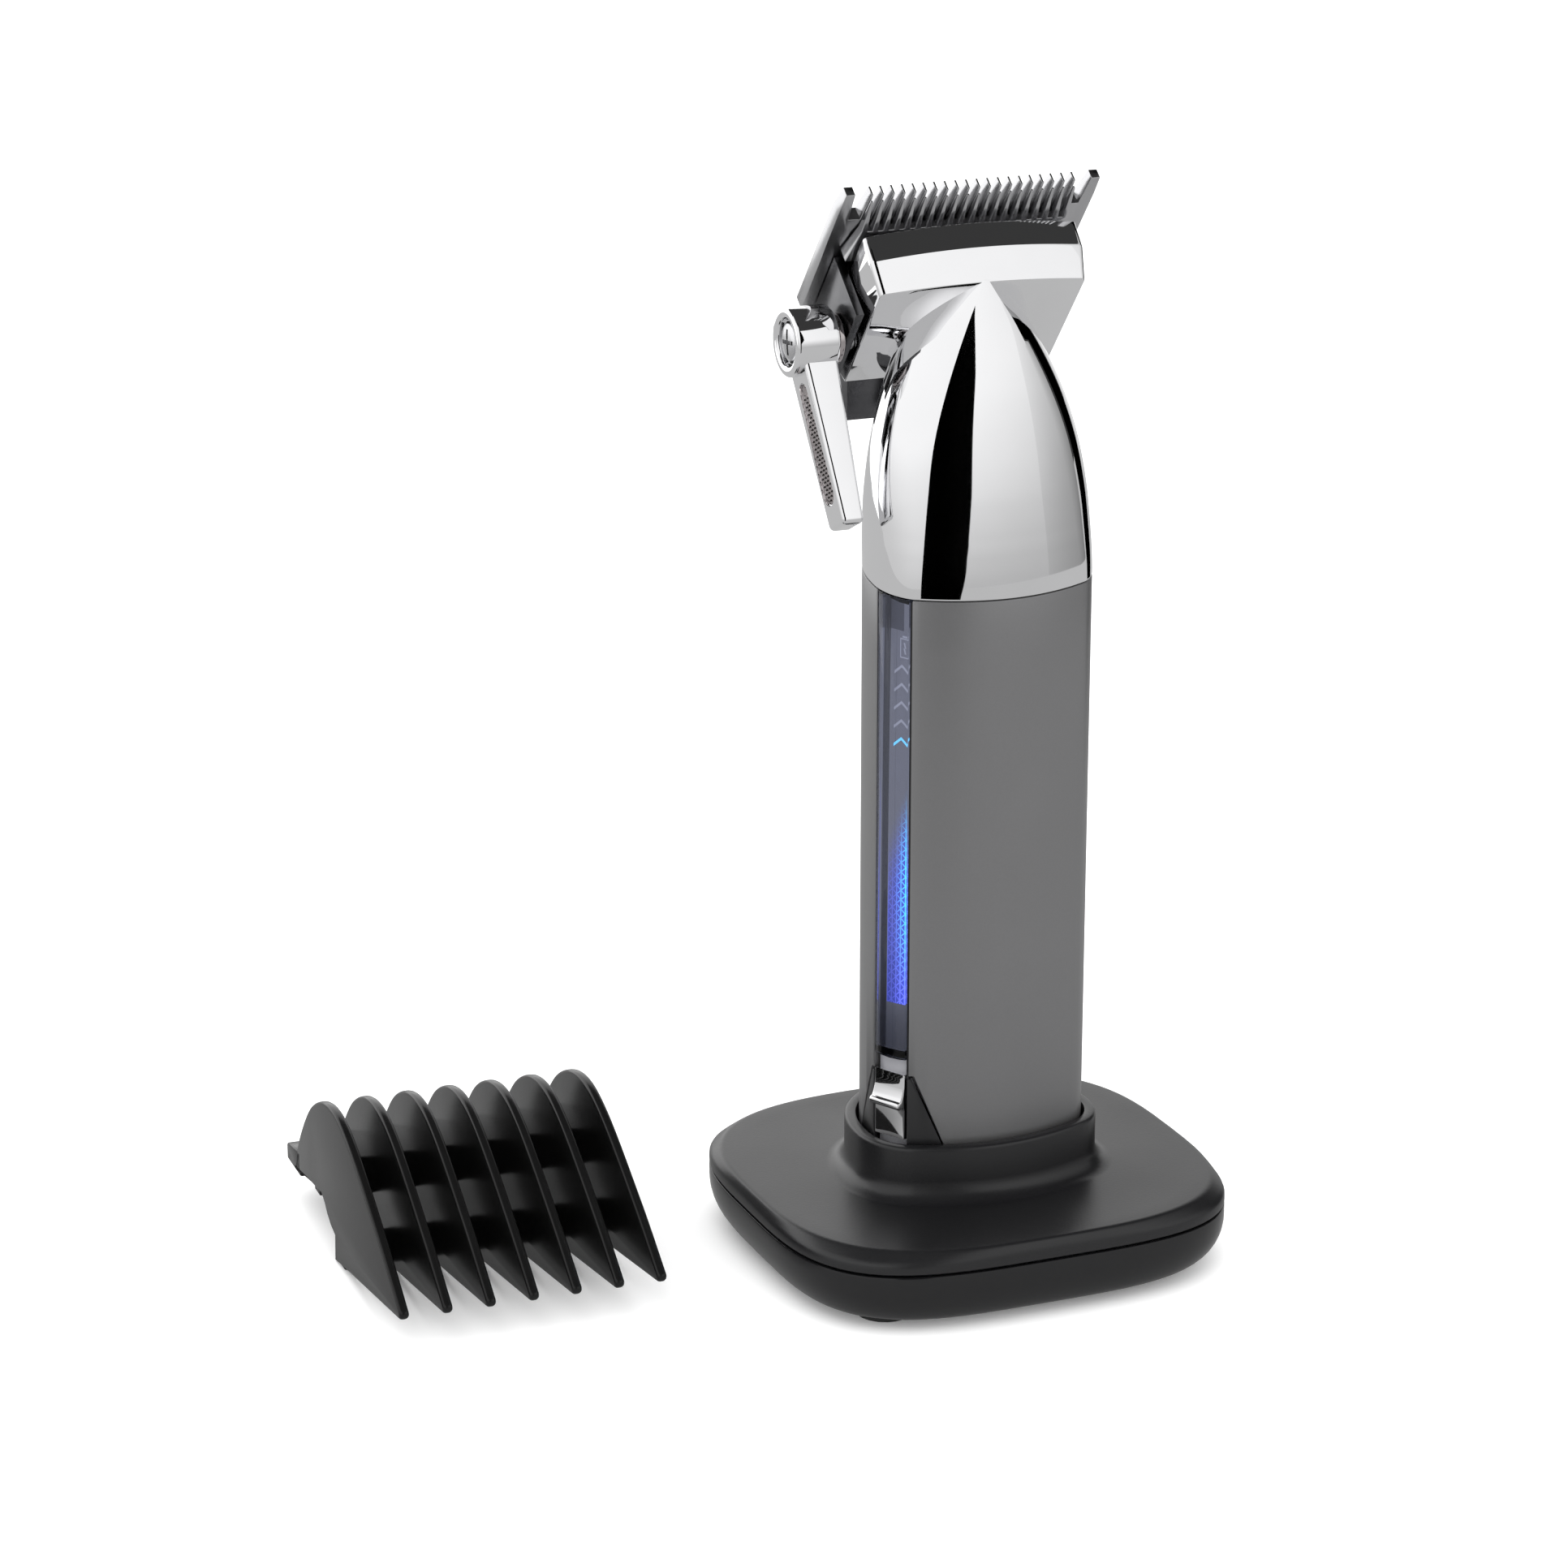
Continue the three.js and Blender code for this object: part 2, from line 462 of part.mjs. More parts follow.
function headHousing() {
  const slab = inHead(loft([
    slabRing(head.rearW, head.lipRearU, head.halfRear, head.endU, head.arch),
    slabRing(9.4, head.lipRearU - 0.7, head.halfRear, head.endU, head.arch),
    slabRing(head.frontW, head.lipFrontU, head.halfFront, head.endU, head.arch * 0.7),
  ]));
  const outer = join(neck(0, (y) => seamHeight(y) + 0.15, neckLevels), slab);
  const cavity = neck(-wall, body.seamZ - 18, neckLevels.slice(0, -1));
  const pocket = inHead(block(-head.pocketHalfX, head.pocketHalfX, head.endU + 3.4, head.pocketTopU,
    head.rearW - 3, head.frontW - wall));
  const slot = inHead(block(-head.pocketHalfX, head.pocketHalfX, head.endU + 3.4, head.slotTopU,
    head.rearW - 3, head.slotW));
  const behind = inHead(block(-40, 40, -70, 20, -30, head.rearW));
  const axle = rodX(lever.axleRadius + gap, ...leverAxis, -30, -10);
  const dropRoom = block(-bracket.halfX - gap, bracket.halfX + gap, bracket.frontY - gap, 40,
    bracketBottomZ - gap, bracketTopZ + gap);
  return cut(outer, cavity, pocket, slot, behind, axle, dropRoom);
}

const leverPoint = headPoint(0, lever.axisU, lever.axisW);
const leverAxis = [leverPoint.y, leverPoint.z];
add('head_housing', headHousing(), finish.chrome);

// ---------------------------------------------------------------- blades, on the blade plane
const toothCount = Math.floor(2 * (movingBlade.halfX - teeth.margin) / teeth.pitch) + 1;

function toothRow(halfX, tipU, rootU, count, pitch, baseU, horn) {
  const outline = [[-halfX, baseU], [halfX, baseU]];
  if (horn) outline.push([halfX, tipU - 4], [halfX - 0.2, tipU], [halfX - horn * 0.8, tipU], [halfX - horn, rootU]);
  for (let i = count - 1; i >= 0; i--) {
    const x = (i - (count - 1) / 2) * pitch;
    outline.push([x + teeth.width / 2, rootU], [x + teeth.tip / 2, tipU - 0.2], [x - teeth.tip / 2, tipU - 0.2],
      [x - teeth.width / 2, rootU]);
  }
  if (horn) outline.push([-halfX + horn, rootU], [-halfX + horn * 0.8, tipU], [-halfX + 0.2, tipU], [-halfX, tipU - 4]);
  return outline;
}

function fixedBladePlate() {
  const plate = prism(toothRow(fixedBlade.halfX, 0, -fixedBlade.tooth, toothCount, teeth.pitch,
    -fixedBlade.length, fixedBlade.horn), fixedBlade.rearW, fixedBlade.rearW + fixedBlade.thickness);
  const bevel = sidePrism([[1, -1], [1, 0.8], [0, 0.8], [-5, 0], [-5, -1]], -30, 30).translate(0, 0, fixedBlade.rearW);
  const holes = [-1, 1].map((side) => rod(bladeScrew.shankRadius + gap, side * bladeScrew.x, bladeScrew.u, -4, 8));
  return cut(plate, bevel, ...holes);
}
add('fixed_blade', fixedBladePlate(), finish.steel, headGroup);

const movingW = fixedBlade.rearW + fixedBlade.thickness + gap;
function movingBladePlate() {
  const plate = prism(toothRow(movingBlade.halfX, movingBlade.topU, movingBlade.topU - movingBlade.tooth,
    toothCount, teeth.pitch, movingBlade.endU, 0), movingW, movingW + movingBlade.thickness);
  const relief = block(-10, 10, movingBlade.endU - 1, movingBlade.endU + 2, movingW - 1, movingW + 3);
  return cut(plate, relief);
}
add('moving_blade', movingBladePlate(), finish.steel, headGroup);

function bladeBracket() {
  const cheekX = -head.halfRear - gap;
  const seat = block(cheekX, -cheekX, bracket.endU, -20, movingW, head.rearW - gap);
  const cheek = block(cheekX - bracket.cheek, cheekX + 0.1, bracket.endU, -15, movingW, lever.axisW + 2.4);
  const drop = block(-bracket.halfX, bracket.halfX, bracket.frontY, bracket.rearY, bracketBottomZ, bracketTopZ);
  const holes = [-1, 1].map((side) => rod(bladeScrew.shankRadius + gap, side * bladeScrew.x, bladeScrew.u, -2, 8));
  const axle = rodX(lever.axleRadius + gap, lever.axisU, lever.axisW, -30, -10);
  return cut(join(inHead(join(seat, cheek)), drop), ...holes.map(inHead), inHead(axle));
}
add('blade_bracket', bladeBracket(), finish.darkSteel);

[-1, 1].forEach((side, i) => {
  const x = side * bladeScrew.x;
  const under = fixedBlade.rearW - gap;
  const shape = join(rod(bladeScrew.headRadius, x, bladeScrew.u, under - bladeScrew.head, under, 20),
    rod(bladeScrew.shankRadius, x, bladeScrew.u, under - 0.2, head.rearW - gap, 14));
  const slot = block(x - 2, x + 2, bladeScrew.u - 0.35, bladeScrew.u + 0.35, under - bladeScrew.head - 1,
    under - bladeScrew.head + 0.6);
  add(`blade_screw_${i + 1}`, cut(shape, slot), finish.steel, headGroup);
});

// the plastic fork under the moving blade reaches down to the eccentric pin
function driveFork() {
  const pinTop = motorTop + eccentric.above + eccentric.thickness;
  const ringZ = pinTop + 1.4;
  const reach = eccentric.pinRadius + eccentric.offset + cutterSlide.stroke + gap;
  const eye = cut(block(-reach - 1.5, reach + 1.5, motor.y - 6, motor.y + 7, ringZ, ringZ + 2),
    block(-reach, reach, motor.y - 4.4, motor.y + 4.8, ringZ - 1, ringZ + 3));
  const heel = headPoint(0, -19.2, 8.5);
  const toe = headPoint(0, -14, 8.5);
  const web = sidePrism([[motor.y + 5.2, ringZ], [motor.y + 7, ringZ], [motor.y + 7, heel.z - 9],
    [heel.y, heel.z], [toe.y, toe.z], [motor.y + 5.2, heel.z - 9]], -4, 4);
  const guide = inHead(block(-9, 9, -19.5, movingBlade.endU + 2 - gap, movingW + movingBlade.thickness + 0.5, 9.4));
  const rail = inHead(block(-14, 14, movingBlade.endU + 0.6, movingBlade.endU + 3,
    movingW + movingBlade.thickness + gap, 8));
  return join(eye, web, guide, rail);
}
add('drive_fork', driveFork(), finish.blackPlastic);

// the carrier moves the cutter along the blades when the taper lever turns
function cutterCarrier() {
  const bar = block(-15, 15, -26.6, -24, 6, 9);
  const arms = [-1, 1].map((side) => block(side < 0 ? -15 : 13, side < 0 ? -13 : 15, -24.2, -15, 6.4, 8.4));
  return join(bar, ...arms);
}
add('cutter_carrier', cutterCarrier(), finish.steel, headGroup);
add('tension_spring', join(block(-12.4, 12.4, -22.8, -21.4, 7, 7.6), block(-12.4, -11.2, -21.6, -14, 7, 7.6),
  block(11.2, 12.4, -21.6, -14, 7, 7.6)), finish.steel, headGroup);

// ---------------------------------------------------------------- taper lever
const leverGroup = new THREE.Group();
leverGroup.position.set(0, ...leverAxis);
leverGroup.rotation.x = THREE.MathUtils.degToRad(-lever.lean);
model.add(leverGroup);

// drawn hanging straight down from the axis, then leaned forward by the group
function leverArm() {
  const boss = rodX(lever.bossRadius, 0, 0, lever.bossOuterX, lever.bossInnerX, round.fine);
  const armRing = (halfY, outerX, z) => [[outerX, -halfY], [lever.armInnerX, -halfY], [lever.armInnerX, halfY],
    [outerX, halfY]].map(([x, y]) => new THREE.Vector3(x, y, z));
  const arm = loft([armRing(lever.tipHalf, lever.tipOuterX, -lever.arm), armRing(lever.rootHalf, lever.rootOuterX, -2)]);
  const recess = rodX(lever.recessRadius, 0, 0, lever.bossOuterX - 1, lever.bossOuterX + lever.recess, 24);
  const bore = rodX(lever.axleRadius + gap, 0, 0, -40, 0);
  return cut(join(boss, arm), recess, bore, gripPanel(lever.panelHalf, 1.2, gap));
}

// the grip's slab follows the arm's slanting outer face
function gripPanel(halfY, rise, grow) {
  const slope = (lever.tipOuterX - lever.rootOuterX) / (lever.arm - 2);
  const ring = (z) => {
    const x = lever.rootOuterX + slope * (-2 - z) + 0.6 + grow;
    return [[x - rise, -halfY], [x, -halfY], [x, halfY], [x - rise, halfY]].map(([a, b]) => new THREE.Vector3(a, b, z));
  };
  return loft([ring(-lever.arm + lever.panelEnd - grow), ring(-lever.panelTop + grow)]);
}
add('taper_lever', leverArm(), finish.chrome, leverGroup);
add('lever_grip_panel', gripPanel(lever.panelHalf - gap, 0.45, 0), finish.darkChrome, leverGroup);
const recessX = lever.bossOuterX + lever.recess;
add('lever_axle', join(rodX(lever.axleRadius, 0, 0, recessX - gap - 0.2, -13, 20),
  rodX(lever.screwRadius, 0, 0, recessX - lever.recess + 0.3, recessX - gap, 20)), finish.steel, leverGroup);
add('lever_cam', cut(rodX(lever.camRadius, 0, 0, lever.bossInnerX + gap, -head.halfRear - 2 * gap - bracket.cheek, 24),
  rodX(lever.axleRadius + gap, 0, 0, -40, 0)), finish.darkChrome, leverGroup);

// ---------------------------------------------------------------- guard comb
const combGroup = new THREE.Group();
combGroup.position.set(comb.tipX, comb.tipY, comb.tipZ);
combGroup.rotation.z = THREE.MathUtils.degToRad(comb.turn);
model.add(combGroup);

// one rib in its own plane: y back from the tip, z up from the tip
function ribOutline() {
  const crown = new THREE.CatmullRomCurve3([[0, 0.6], [13, 9], [31, 18.4], [43, 20.6], [55, 16.4], [64.5, 7.2], [68.6, -0.4]]
    .map(([y, z]) => new THREE.Vector3(0, y, z)));
  const top = crown.getPoints(16).map((p) => [p.y, p.z]);
  return [...top, [57, 1.2], [50, 2], [46.4, -0.5], [41.6, -2.2], [41.8, -comb.tipZ], [36.5, -6.1],
    [0.8, -0.7], [0, 0]];
}

function combGuard() {
  const ribs = Array.from({ length: comb.count }, (_, i) => sidePrism(ribOutline().reverse(),
    i * comb.pitch - comb.rib / 2, i * comb.pitch + comb.rib / 2));
  const width = (comb.count - 1) * comb.pitch;
  const bars = [
    sidePrism([[44, 3.4], [66, 3], [66, 6.6], [52, 7]].reverse(), -0.4, width + 0.4),
    sidePrism([[64.6, -0.6], [74, -0.6], [74, 2.4], [64.6, 4]].reverse(), -comb.rib / 2, width + comb.rib / 2),
    sidePrism([[37, -comb.tipZ], [41.8, -comb.tipZ], [41.6, -2.2], [40, -1.6]].reverse(), -0.4, width + 0.4),
  ];
  const hooks = [2, width - 5].map((x) => sidePrism([[60, 1.4], [66.4, 1.4], [66.2, -3.8], [62.6, -3.8],
    [62.2, -2]].reverse(), x, x + 3));
  return join(...ribs, ...bars, ...hooks);
}
add('comb_guard', combGuard(), finish.blackPlastic, combGroup);

model.position.z = -stand.bottomZ;
export default model;
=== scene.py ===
import bisect
import json
import math

import bmesh
import bpy
from mathutils import Matrix, Vector

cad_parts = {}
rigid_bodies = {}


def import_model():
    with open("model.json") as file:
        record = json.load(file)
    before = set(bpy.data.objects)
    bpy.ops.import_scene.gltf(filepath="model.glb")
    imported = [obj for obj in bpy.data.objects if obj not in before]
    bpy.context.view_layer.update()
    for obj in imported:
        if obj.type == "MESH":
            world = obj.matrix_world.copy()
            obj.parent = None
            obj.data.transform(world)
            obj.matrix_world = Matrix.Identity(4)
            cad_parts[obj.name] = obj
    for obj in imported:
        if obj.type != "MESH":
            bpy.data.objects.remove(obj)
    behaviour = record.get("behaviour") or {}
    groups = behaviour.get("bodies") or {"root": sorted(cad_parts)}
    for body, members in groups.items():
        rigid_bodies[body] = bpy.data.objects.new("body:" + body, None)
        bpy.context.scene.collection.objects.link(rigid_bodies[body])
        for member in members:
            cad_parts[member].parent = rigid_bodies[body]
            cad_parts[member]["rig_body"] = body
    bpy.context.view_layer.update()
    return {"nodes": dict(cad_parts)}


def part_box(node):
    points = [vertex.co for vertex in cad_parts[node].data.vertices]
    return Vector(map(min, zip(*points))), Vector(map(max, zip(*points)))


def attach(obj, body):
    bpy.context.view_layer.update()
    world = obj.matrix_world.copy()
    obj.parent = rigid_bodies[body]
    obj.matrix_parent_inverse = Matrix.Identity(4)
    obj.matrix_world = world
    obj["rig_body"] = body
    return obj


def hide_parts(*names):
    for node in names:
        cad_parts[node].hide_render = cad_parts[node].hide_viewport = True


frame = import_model()
nodes = frame["nodes"]
print("frame loaded")

# sizes are in millimetres, counted from the table under the rubber feet,
# and become metres when a piece is placed
mm = 0.001
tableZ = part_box("foot_1")[0].z
onTable = Matrix.Translation((0, 0, tableZ)) @ Matrix.Scale(mm, 4)

# the body's section from above: a crease on each side between the front and the corner facet
clipper = {
    "halfWidth": 19, "front": -14.9, "back": 15.5, "creaseX": 15.4, "creaseY": -11.2, "widestY": -4.2,
    "wall": 1.6, "bottomZ": 18.3, "seamZ": 118.2, "seamSlope": 0.115, "gap": 0.3, "edge": 0.22,
}
# the blades' own axes lean forward: across x, along u from the tips, out along w
headPose = {"tilt": 40.3, "tipY": 1.8, "tipZ": 182.4}
onBlades = (onTable @ Matrix.Translation((0, headPose["tipY"], headPose["tipZ"]))
            @ Matrix.Rotation(math.radians(90 + headPose["tilt"]), 4, "X"))
# the left corner facet holds the window and the switch
strip = {"near": 0.7, "width": 6.3, "wedgeTop": 35, "wedgeWidth": 8.2}
stripAngle = math.atan2(clipper["widestY"] - clipper["creaseY"], clipper["creaseX"] - clipper["halfWidth"])
onStrip = (onTable @ Matrix.Translation((-clipper["creaseX"], clipper["creaseY"], 0))
           @ Matrix.Rotation(stripAngle, 4, "Z"))


class Shade:
    # one socket of a node tree, with the operators that a material uses
    def __init__(self, tree, socket=None):
        self.tree = tree
        self.socket = socket

    def node(self, kind, settings=None, inputs=None, output=0):
        made = self.tree.nodes.new(kind)
        for name, value in (settings or {}).items():
            setattr(made, name, value)
        for name, value in (inputs or {}).items():
            if isinstance(value, Shade):
                self.tree.links.new(value.socket, made.inputs[name])
            else:
                made.inputs[name].default_value = value
        return Shade(self.tree, made.outputs[output])

    def math(self, operation, *values):
        return self.node("ShaderNodeMath", {"operation": operation}, dict(enumerate(values)))

    def __add__(self, other):
        return self.math("ADD", self, other)

    def __sub__(self, other):
        return self.math("SUBTRACT", self, other)

    def __rsub__(self, other):
        return self.math("SUBTRACT", other, self)

    def __mul__(self, other):
        return self.math("MULTIPLY", self, other)

    def __truediv__(self, other):
        return self.math("DIVIDE", self, other)

    def __lt__(self, other):
        return self.math("LESS_THAN", self, other)

    def __gt__(self, other):
        return self.math("GREATER_THAN", self, other)

    def __abs__(self):
        return self.math("ABSOLUTE", self)

    __radd__ = __add__
    __rmul__ = __mul__

    def fade(self, low, high):
        return self.node("ShaderNodeMapRange", {"interpolation_type": "SMOOTHSTEP", "clamp": True},
                         {"Value": self, "From Min": low, "From Max": high})

    def mix(self, a, b):
        return self.node("ShaderNodeMix", {"data_type": "RGBA"}, {0: self, 6: a, 7: b}, 2)


def newMaterial(name):
    material = bpy.data.materials.new(name)
    material.use_nodes = True
    shade = Shade(material.node_tree)
    place = shade.node("ShaderNodeTexCoord", output="Object")
    return material, shade, place


def setSurface(material, values):
    surface = material.node_tree.nodes["Principled BSDF"]
    for name, value in values.items():
        if isinstance(value, Shade):
            material.node_tree.links.new(value.socket, surface.inputs[name])
        else:
            surface.inputs[name].default_value = value
    return material


def noise(shade, place, scale, detail=3.0, stretch=(1, 1, 1), turn=(0, 0, 0)):
    turned = shade.node("ShaderNodeMapping", {"vector_type": "TEXTURE"}, {
        "Vector": place, "Rotation": turn, "Scale": tuple(1 / s for s in stretch)})
    return shade.node("ShaderNodeTexNoise", {}, {"Vector": turned, "Scale": scale, "Detail": detail})


def bump(shade, height, distance, strength=1.0):
    return shade.node("ShaderNodeBump", {}, {"Height": height, "Distance": distance, "Strength": strength})


def finish(name, color, other, roughness, spread, metallic=0.0, grain=2500, depth=0.00001, cloud=60,
           stretch=(1, 1, 1), turn=(0, 0, 0), **fixed):
    # a fine grain for the surface and a slow cloud for handling marks
    material, shade, place = newMaterial(name)
    fine = noise(shade, place, grain, 2.0, stretch, turn)
    slow = noise(shade, place, cloud, 4.0)
    values = {
        "Base Color": (slow * 0.5 + fine * 0.5).mix((*color, 1), (*other, 1)),
        "Roughness": (slow * 0.6 + fine * 0.4 - 0.5) * spread + roughness,
        "Normal": bump(shade, fine, depth),
        "Metallic": metallic,
    }
    values.update({key.replace("_", " "): value for key, value in fixed.items()})
    return setSurface(material, values)


finishes = {
    "blackSatin": finish("satin black plastic", (0.006, 0.006, 0.007), (0.011, 0.011, 0.012), 0.33, 0.14,
                         grain=2600, depth=0.000012),
    "blackGloss": finish("glossy black plastic", (0.004, 0.004, 0.005), (0.008, 0.008, 0.008), 0.15, 0.10,
                         grain=900, depth=0.000002),
    "combBlack": finish("moulded comb black", (0.004, 0.004, 0.004), (0.007, 0.007, 0.007), 0.22, 0.12,
                        grain=1200, depth=0.000003, Specular_IOR_Level=0.26),
    "rubber": finish("rubber", (0.012, 0.012, 0.012), (0.03, 0.03, 0.03), 0.8, 0.2, grain=1600,
                     depth=0.00004),
    "gunmetal": finish("satin gunmetal", (0.185, 0.185, 0.187), (0.220, 0.220, 0.224), 0.36, 0.08,
                       metallic=0.7, grain=3200, depth=0.000004),
    "chrome": finish("polished chrome", (0.86, 0.86, 0.87), (0.93, 0.93, 0.94), 0.035, 0.03, metallic=1.0,
                     grain=140, depth=0.000002, cloud=25),
    "darkChrome": finish("smoked chrome", (0.40, 0.37, 0.37), (0.54, 0.50, 0.50), 0.12, 0.08, metallic=1.0,
                         grain=400, depth=0.000004),
    "steel": finish("ground steel", (0.42, 0.42, 0.43), (0.62, 0.62, 0.63), 0.24, 0.16, metallic=1.0,
                    grain=900, depth=0.000004, stretch=(1, 0.06, 0.06)),
    "darkSteel": finish("dark steel", (0.07, 0.07, 0.075), (0.15, 0.15, 0.155), 0.26, 0.14, metallic=1.0,
                        grain=900, depth=0.000004, stretch=(0.08, 1, 1)),
    "gold": finish("gold plating", (0.68, 0.46, 0.16), (0.80, 0.58, 0.26), 0.2, 0.12, metallic=1.0,
                   grain=1400),
    "greyPlastic": finish("grey plastic", (0.24, 0.24, 0.26), (0.30, 0.30, 0.32), 0.4, 0.1, grain=2600),
    "batteryWrap": finish("battery sleeve", (0.02, 0.14, 0.22), (0.03, 0.22, 0.32), 0.35, 0.15, grain=700),
}


def circuitBoard():
    material, shade, place = newMaterial("green circuit board")
    tracks = shade.node("ShaderNodeTexBrick", {}, {
        "Vector": place, "Scale": 260.0, "Mortar Size": 0.03, "Color1": (0.012, 0.085, 0.03, 1),
        "Color2": (0.016, 0.11, 0.04, 1), "Mortar": (0.05, 0.24, 0.09, 1)})
    pads = noise(shade, place, 420, 0.0).fade(0.66, 0.68)
    color = pads.mix(tracks, (0.62, 0.45, 0.2, 1))
    return setSurface(material, {"Base Color": color, "Roughness": 0.5 - pads * 0.25, "Metallic": pads,
                                 "Normal": bump(shade, pads, 0.00003)})


def tintedLens():
    material, shade, place = newMaterial("tinted lens")
    slow = noise(shade, place, 90, 3.0)
    return setSurface(material, {
        "Base Color": slow.mix((0.72, 0.75, 0.86, 1), (0.78, 0.81, 0.92, 1)), "Roughness": slow * 0.01,
        "Transmission Weight": 1.0, "IOR": 1.3, "Normal": bump(shade, slow, 0.000001)})


# paintedGlow is the share of painted light on the panel's unlit marks
lights = {
    "lead": 1.25, "meshLow": 47.4, "meshHigh": 87, "meshFar": 4.2, "column": 0.83, "row": 1.6, "line": 0.19,
    "railNear": 5.35, "chevronLow": 92.6, "chevronStep": 3.05, "chevrons": 5, "apex": 1.9, "arm": 1.55,
    "stroke": 0.5, "paintedGlow": 0.2, "iconLow": 106.6, "iconHigh": 109.9, "shadeLow": 110.4,
}


def lightPanel():
    # across is counted from the strip's near edge and up from the table, both in millimetres
    material, shade, place = newMaterial("printed light panel")
    along = Vector((math.cos(stripAngle), math.sin(stripAngle), 0))
    far = along.dot(Vector((-clipper["creaseX"], clipper["creaseY"], 0))) + strip["near"]
    dot = shade.node("ShaderNodeVectorMath", {"operation": "DOT_PRODUCT"}, {0: place, 1: along}, "Value")
    across = dot / mm - far - lights["lead"]
    up = (shade.node("ShaderNodeSeparateXYZ", inputs={0: place}, output="Z") - tableZ) / mm

    def line(value, pitch, width):
        return shade.math("PINGPONG", value, pitch / 2) < width / 2

    def inside(value, low, high):
        return (value > low) * (value < high)

    # the lit lattice: columns crossed by two slants, brightest beside the body's crease
    slant = lights["row"] / 2 / lights["column"]
    mesh = shade.math("MAXIMUM", line(up + across * slant, lights["row"], lights["line"] * 1.3),
                      line(up - across * slant, lights["row"], lights["line"] * 1.3))
    mesh = shade.math("MAXIMUM", mesh, line(across, lights["column"], lights["line"]))
    patch = inside(across, 0.1, lights["meshFar"]) * inside(up, lights["meshLow"], lights["meshHigh"])
    rise = 1 - (up + across * 2.2).fade(lights["meshHigh"] - 16, lights["meshHigh"])
    near = 1 - across.fade(0.3, 3.4)
    middle = up.fade(lights["meshLow"] + 1, lights["meshLow"] + 16)
    lattice = mesh * patch * rise * (0.35 + near * 1.1)
    fill = patch * rise * (0.35 + near * 0.45)
    rail = across.fade(lights["railNear"], 5.5) * inside(up, lights["meshLow"] + 3, lights["meshHigh"] + 3)
    rail = rail * (1 - up.fade(lights["meshHigh"] - 12, lights["meshHigh"] + 3)) * 0.35
    # chevrons, of which the lowest is lit; the others get a faint painted glow that stands in for ambient
    # light
    spread = abs(across - lights["apex"])
    tooth = up + spread * 0.85
    marks = None
    for i in range(lights["chevrons"]):
        high = lights["chevronLow"] + i * lights["chevronStep"] + 0.7
        power = 1.0 if i == 0 else lights["paintedGlow"]
        mark = inside(tooth, high - lights["stroke"], high) * (spread < lights["arm"]) * power
        marks = mark if marks is None else marks + mark
    # a battery's outline with its cap, and a bolt inside it
    low, high = lights["iconLow"], lights["iconHigh"]
    hollow = inside(across, 0.68, 2.12) * inside(up, low + 0.2, high - 0.2)
    icon = inside(across, 0.5, 2.3) * inside(up, low, high) - hollow
    icon = icon + inside(across, 0.95, 1.85) * inside(up, high + 0.1, high + 0.42)
    bolt = up - (low + high) / 2
    zigzag = abs(across - 1.4 - bolt * 0.25 + shade.math("SIGN", bolt) * 0.12)
    icon = icon + (zigzag < 0.14) * (abs(bolt) < 0.95)
    # unlit print behind the tint: painted light, a grey glow standing in for the ambient light on its ground,
    # brighter towards the top and weaker where the lattice lies, with less glow on a dark groove and on a
    # dark block at the top
    groove = inside(across, 4.3, 5.2) * 0.75 + inside(across, 3.0, 3.1) * 0.3
    corner = shade.math("MAXIMUM", abs(across - 3.9) - 1.4, (lights["shadeLow"] + 1.6) - up)
    block = (corner < 0.9) * (up > lights["shadeLow"]) * 0.55
    # the ground is painted light, an emitted grey in place of ambient light
    ground = (1 - shade.math("MAXIMUM", groove, block)) * (up.fade(40, 56) * 0.14 + 0.05)
    ground = ground * (1 - patch * rise * 0.6)
    tint = near.mix((0.16, 0.20, 0.9, 1), (0.04, 0.75, 1.0, 1))
    tint = middle.mix((0.16, 0.18, 0.8, 1), tint)

    def lit(color, amount):
        return shade.node("ShaderNodeVectorMath", {"operation": "SCALE"}, {0: color, "Scale": amount})

    firstTop = lights["chevronLow"] + 2
    # the LEDs' own light, then painted light: a dim white glow on the unlit chevrons, the battery icon and
    # the ground
    parts = [lit(tint, lattice),
             lit((0.035, 0.085, 1.0), fill + rail),
             lit((0.05, 0.55, 1.0), marks * (up < firstTop) * 1.3),
             lit((0.9, 0.92, 1.06), icon * lights["paintedGlow"] + (up > firstTop) * marks + ground)]
    total = parts[0]
    for part in parts[1:]:
        total = shade.node("ShaderNodeVectorMath", {"operation": "ADD"}, {0: total, 1: part})
    slow = noise(shade, place, 300, 2.0)
    return setSurface(material, {
        "Base Color": slow.mix((0.05, 0.052, 0.07, 1), (0.08, 0.083, 0.11, 1)), "Roughness": 0.4 + slow * 0.1,
        "Emission Color": total, "Emission Strength": 1.0})


finishes["board"] = circuitBoard()
finishes["lens"] = tintedLens()
finishes["glow"] = lightPanel()
print("materials made")


def loft(rings, closed=False):
    # a skin over rings of points, with a lid on each end, or joined end to end
    bm = bmesh.new()
    loops = [[bm.verts.new(point) for point in ring] for ring in rings]
    pairs = list(zip(loops, loops[1:])) + ([(loops[-1], loops[0])] if closed else [])
    for low, high in pairs:
        for i in range(len(low)):
            bm.faces.new((low[i - 1], low[i], high[i], high[i - 1]))
    if not closed:
        bm.faces.new(loops[0])
        bm.faces.new(loops[-1])
    bmesh.ops.recalc_face_normals(bm, faces=bm.faces)
    return bm


def box(x0, x1, y0, y1, z0, z1):
    bm = bmesh.new()
    bmesh.ops.create_cube(bm, size=1)
    bmesh.ops.scale(bm, vec=(x1 - x0, y1 - y0, z1 - z0), verts=bm.verts)
    bmesh.ops.translate(bm, vec=((x0 + x1) / 2, (y0 + y1) / 2, (z0 + z1) / 2), verts=bm.verts)
    return bm


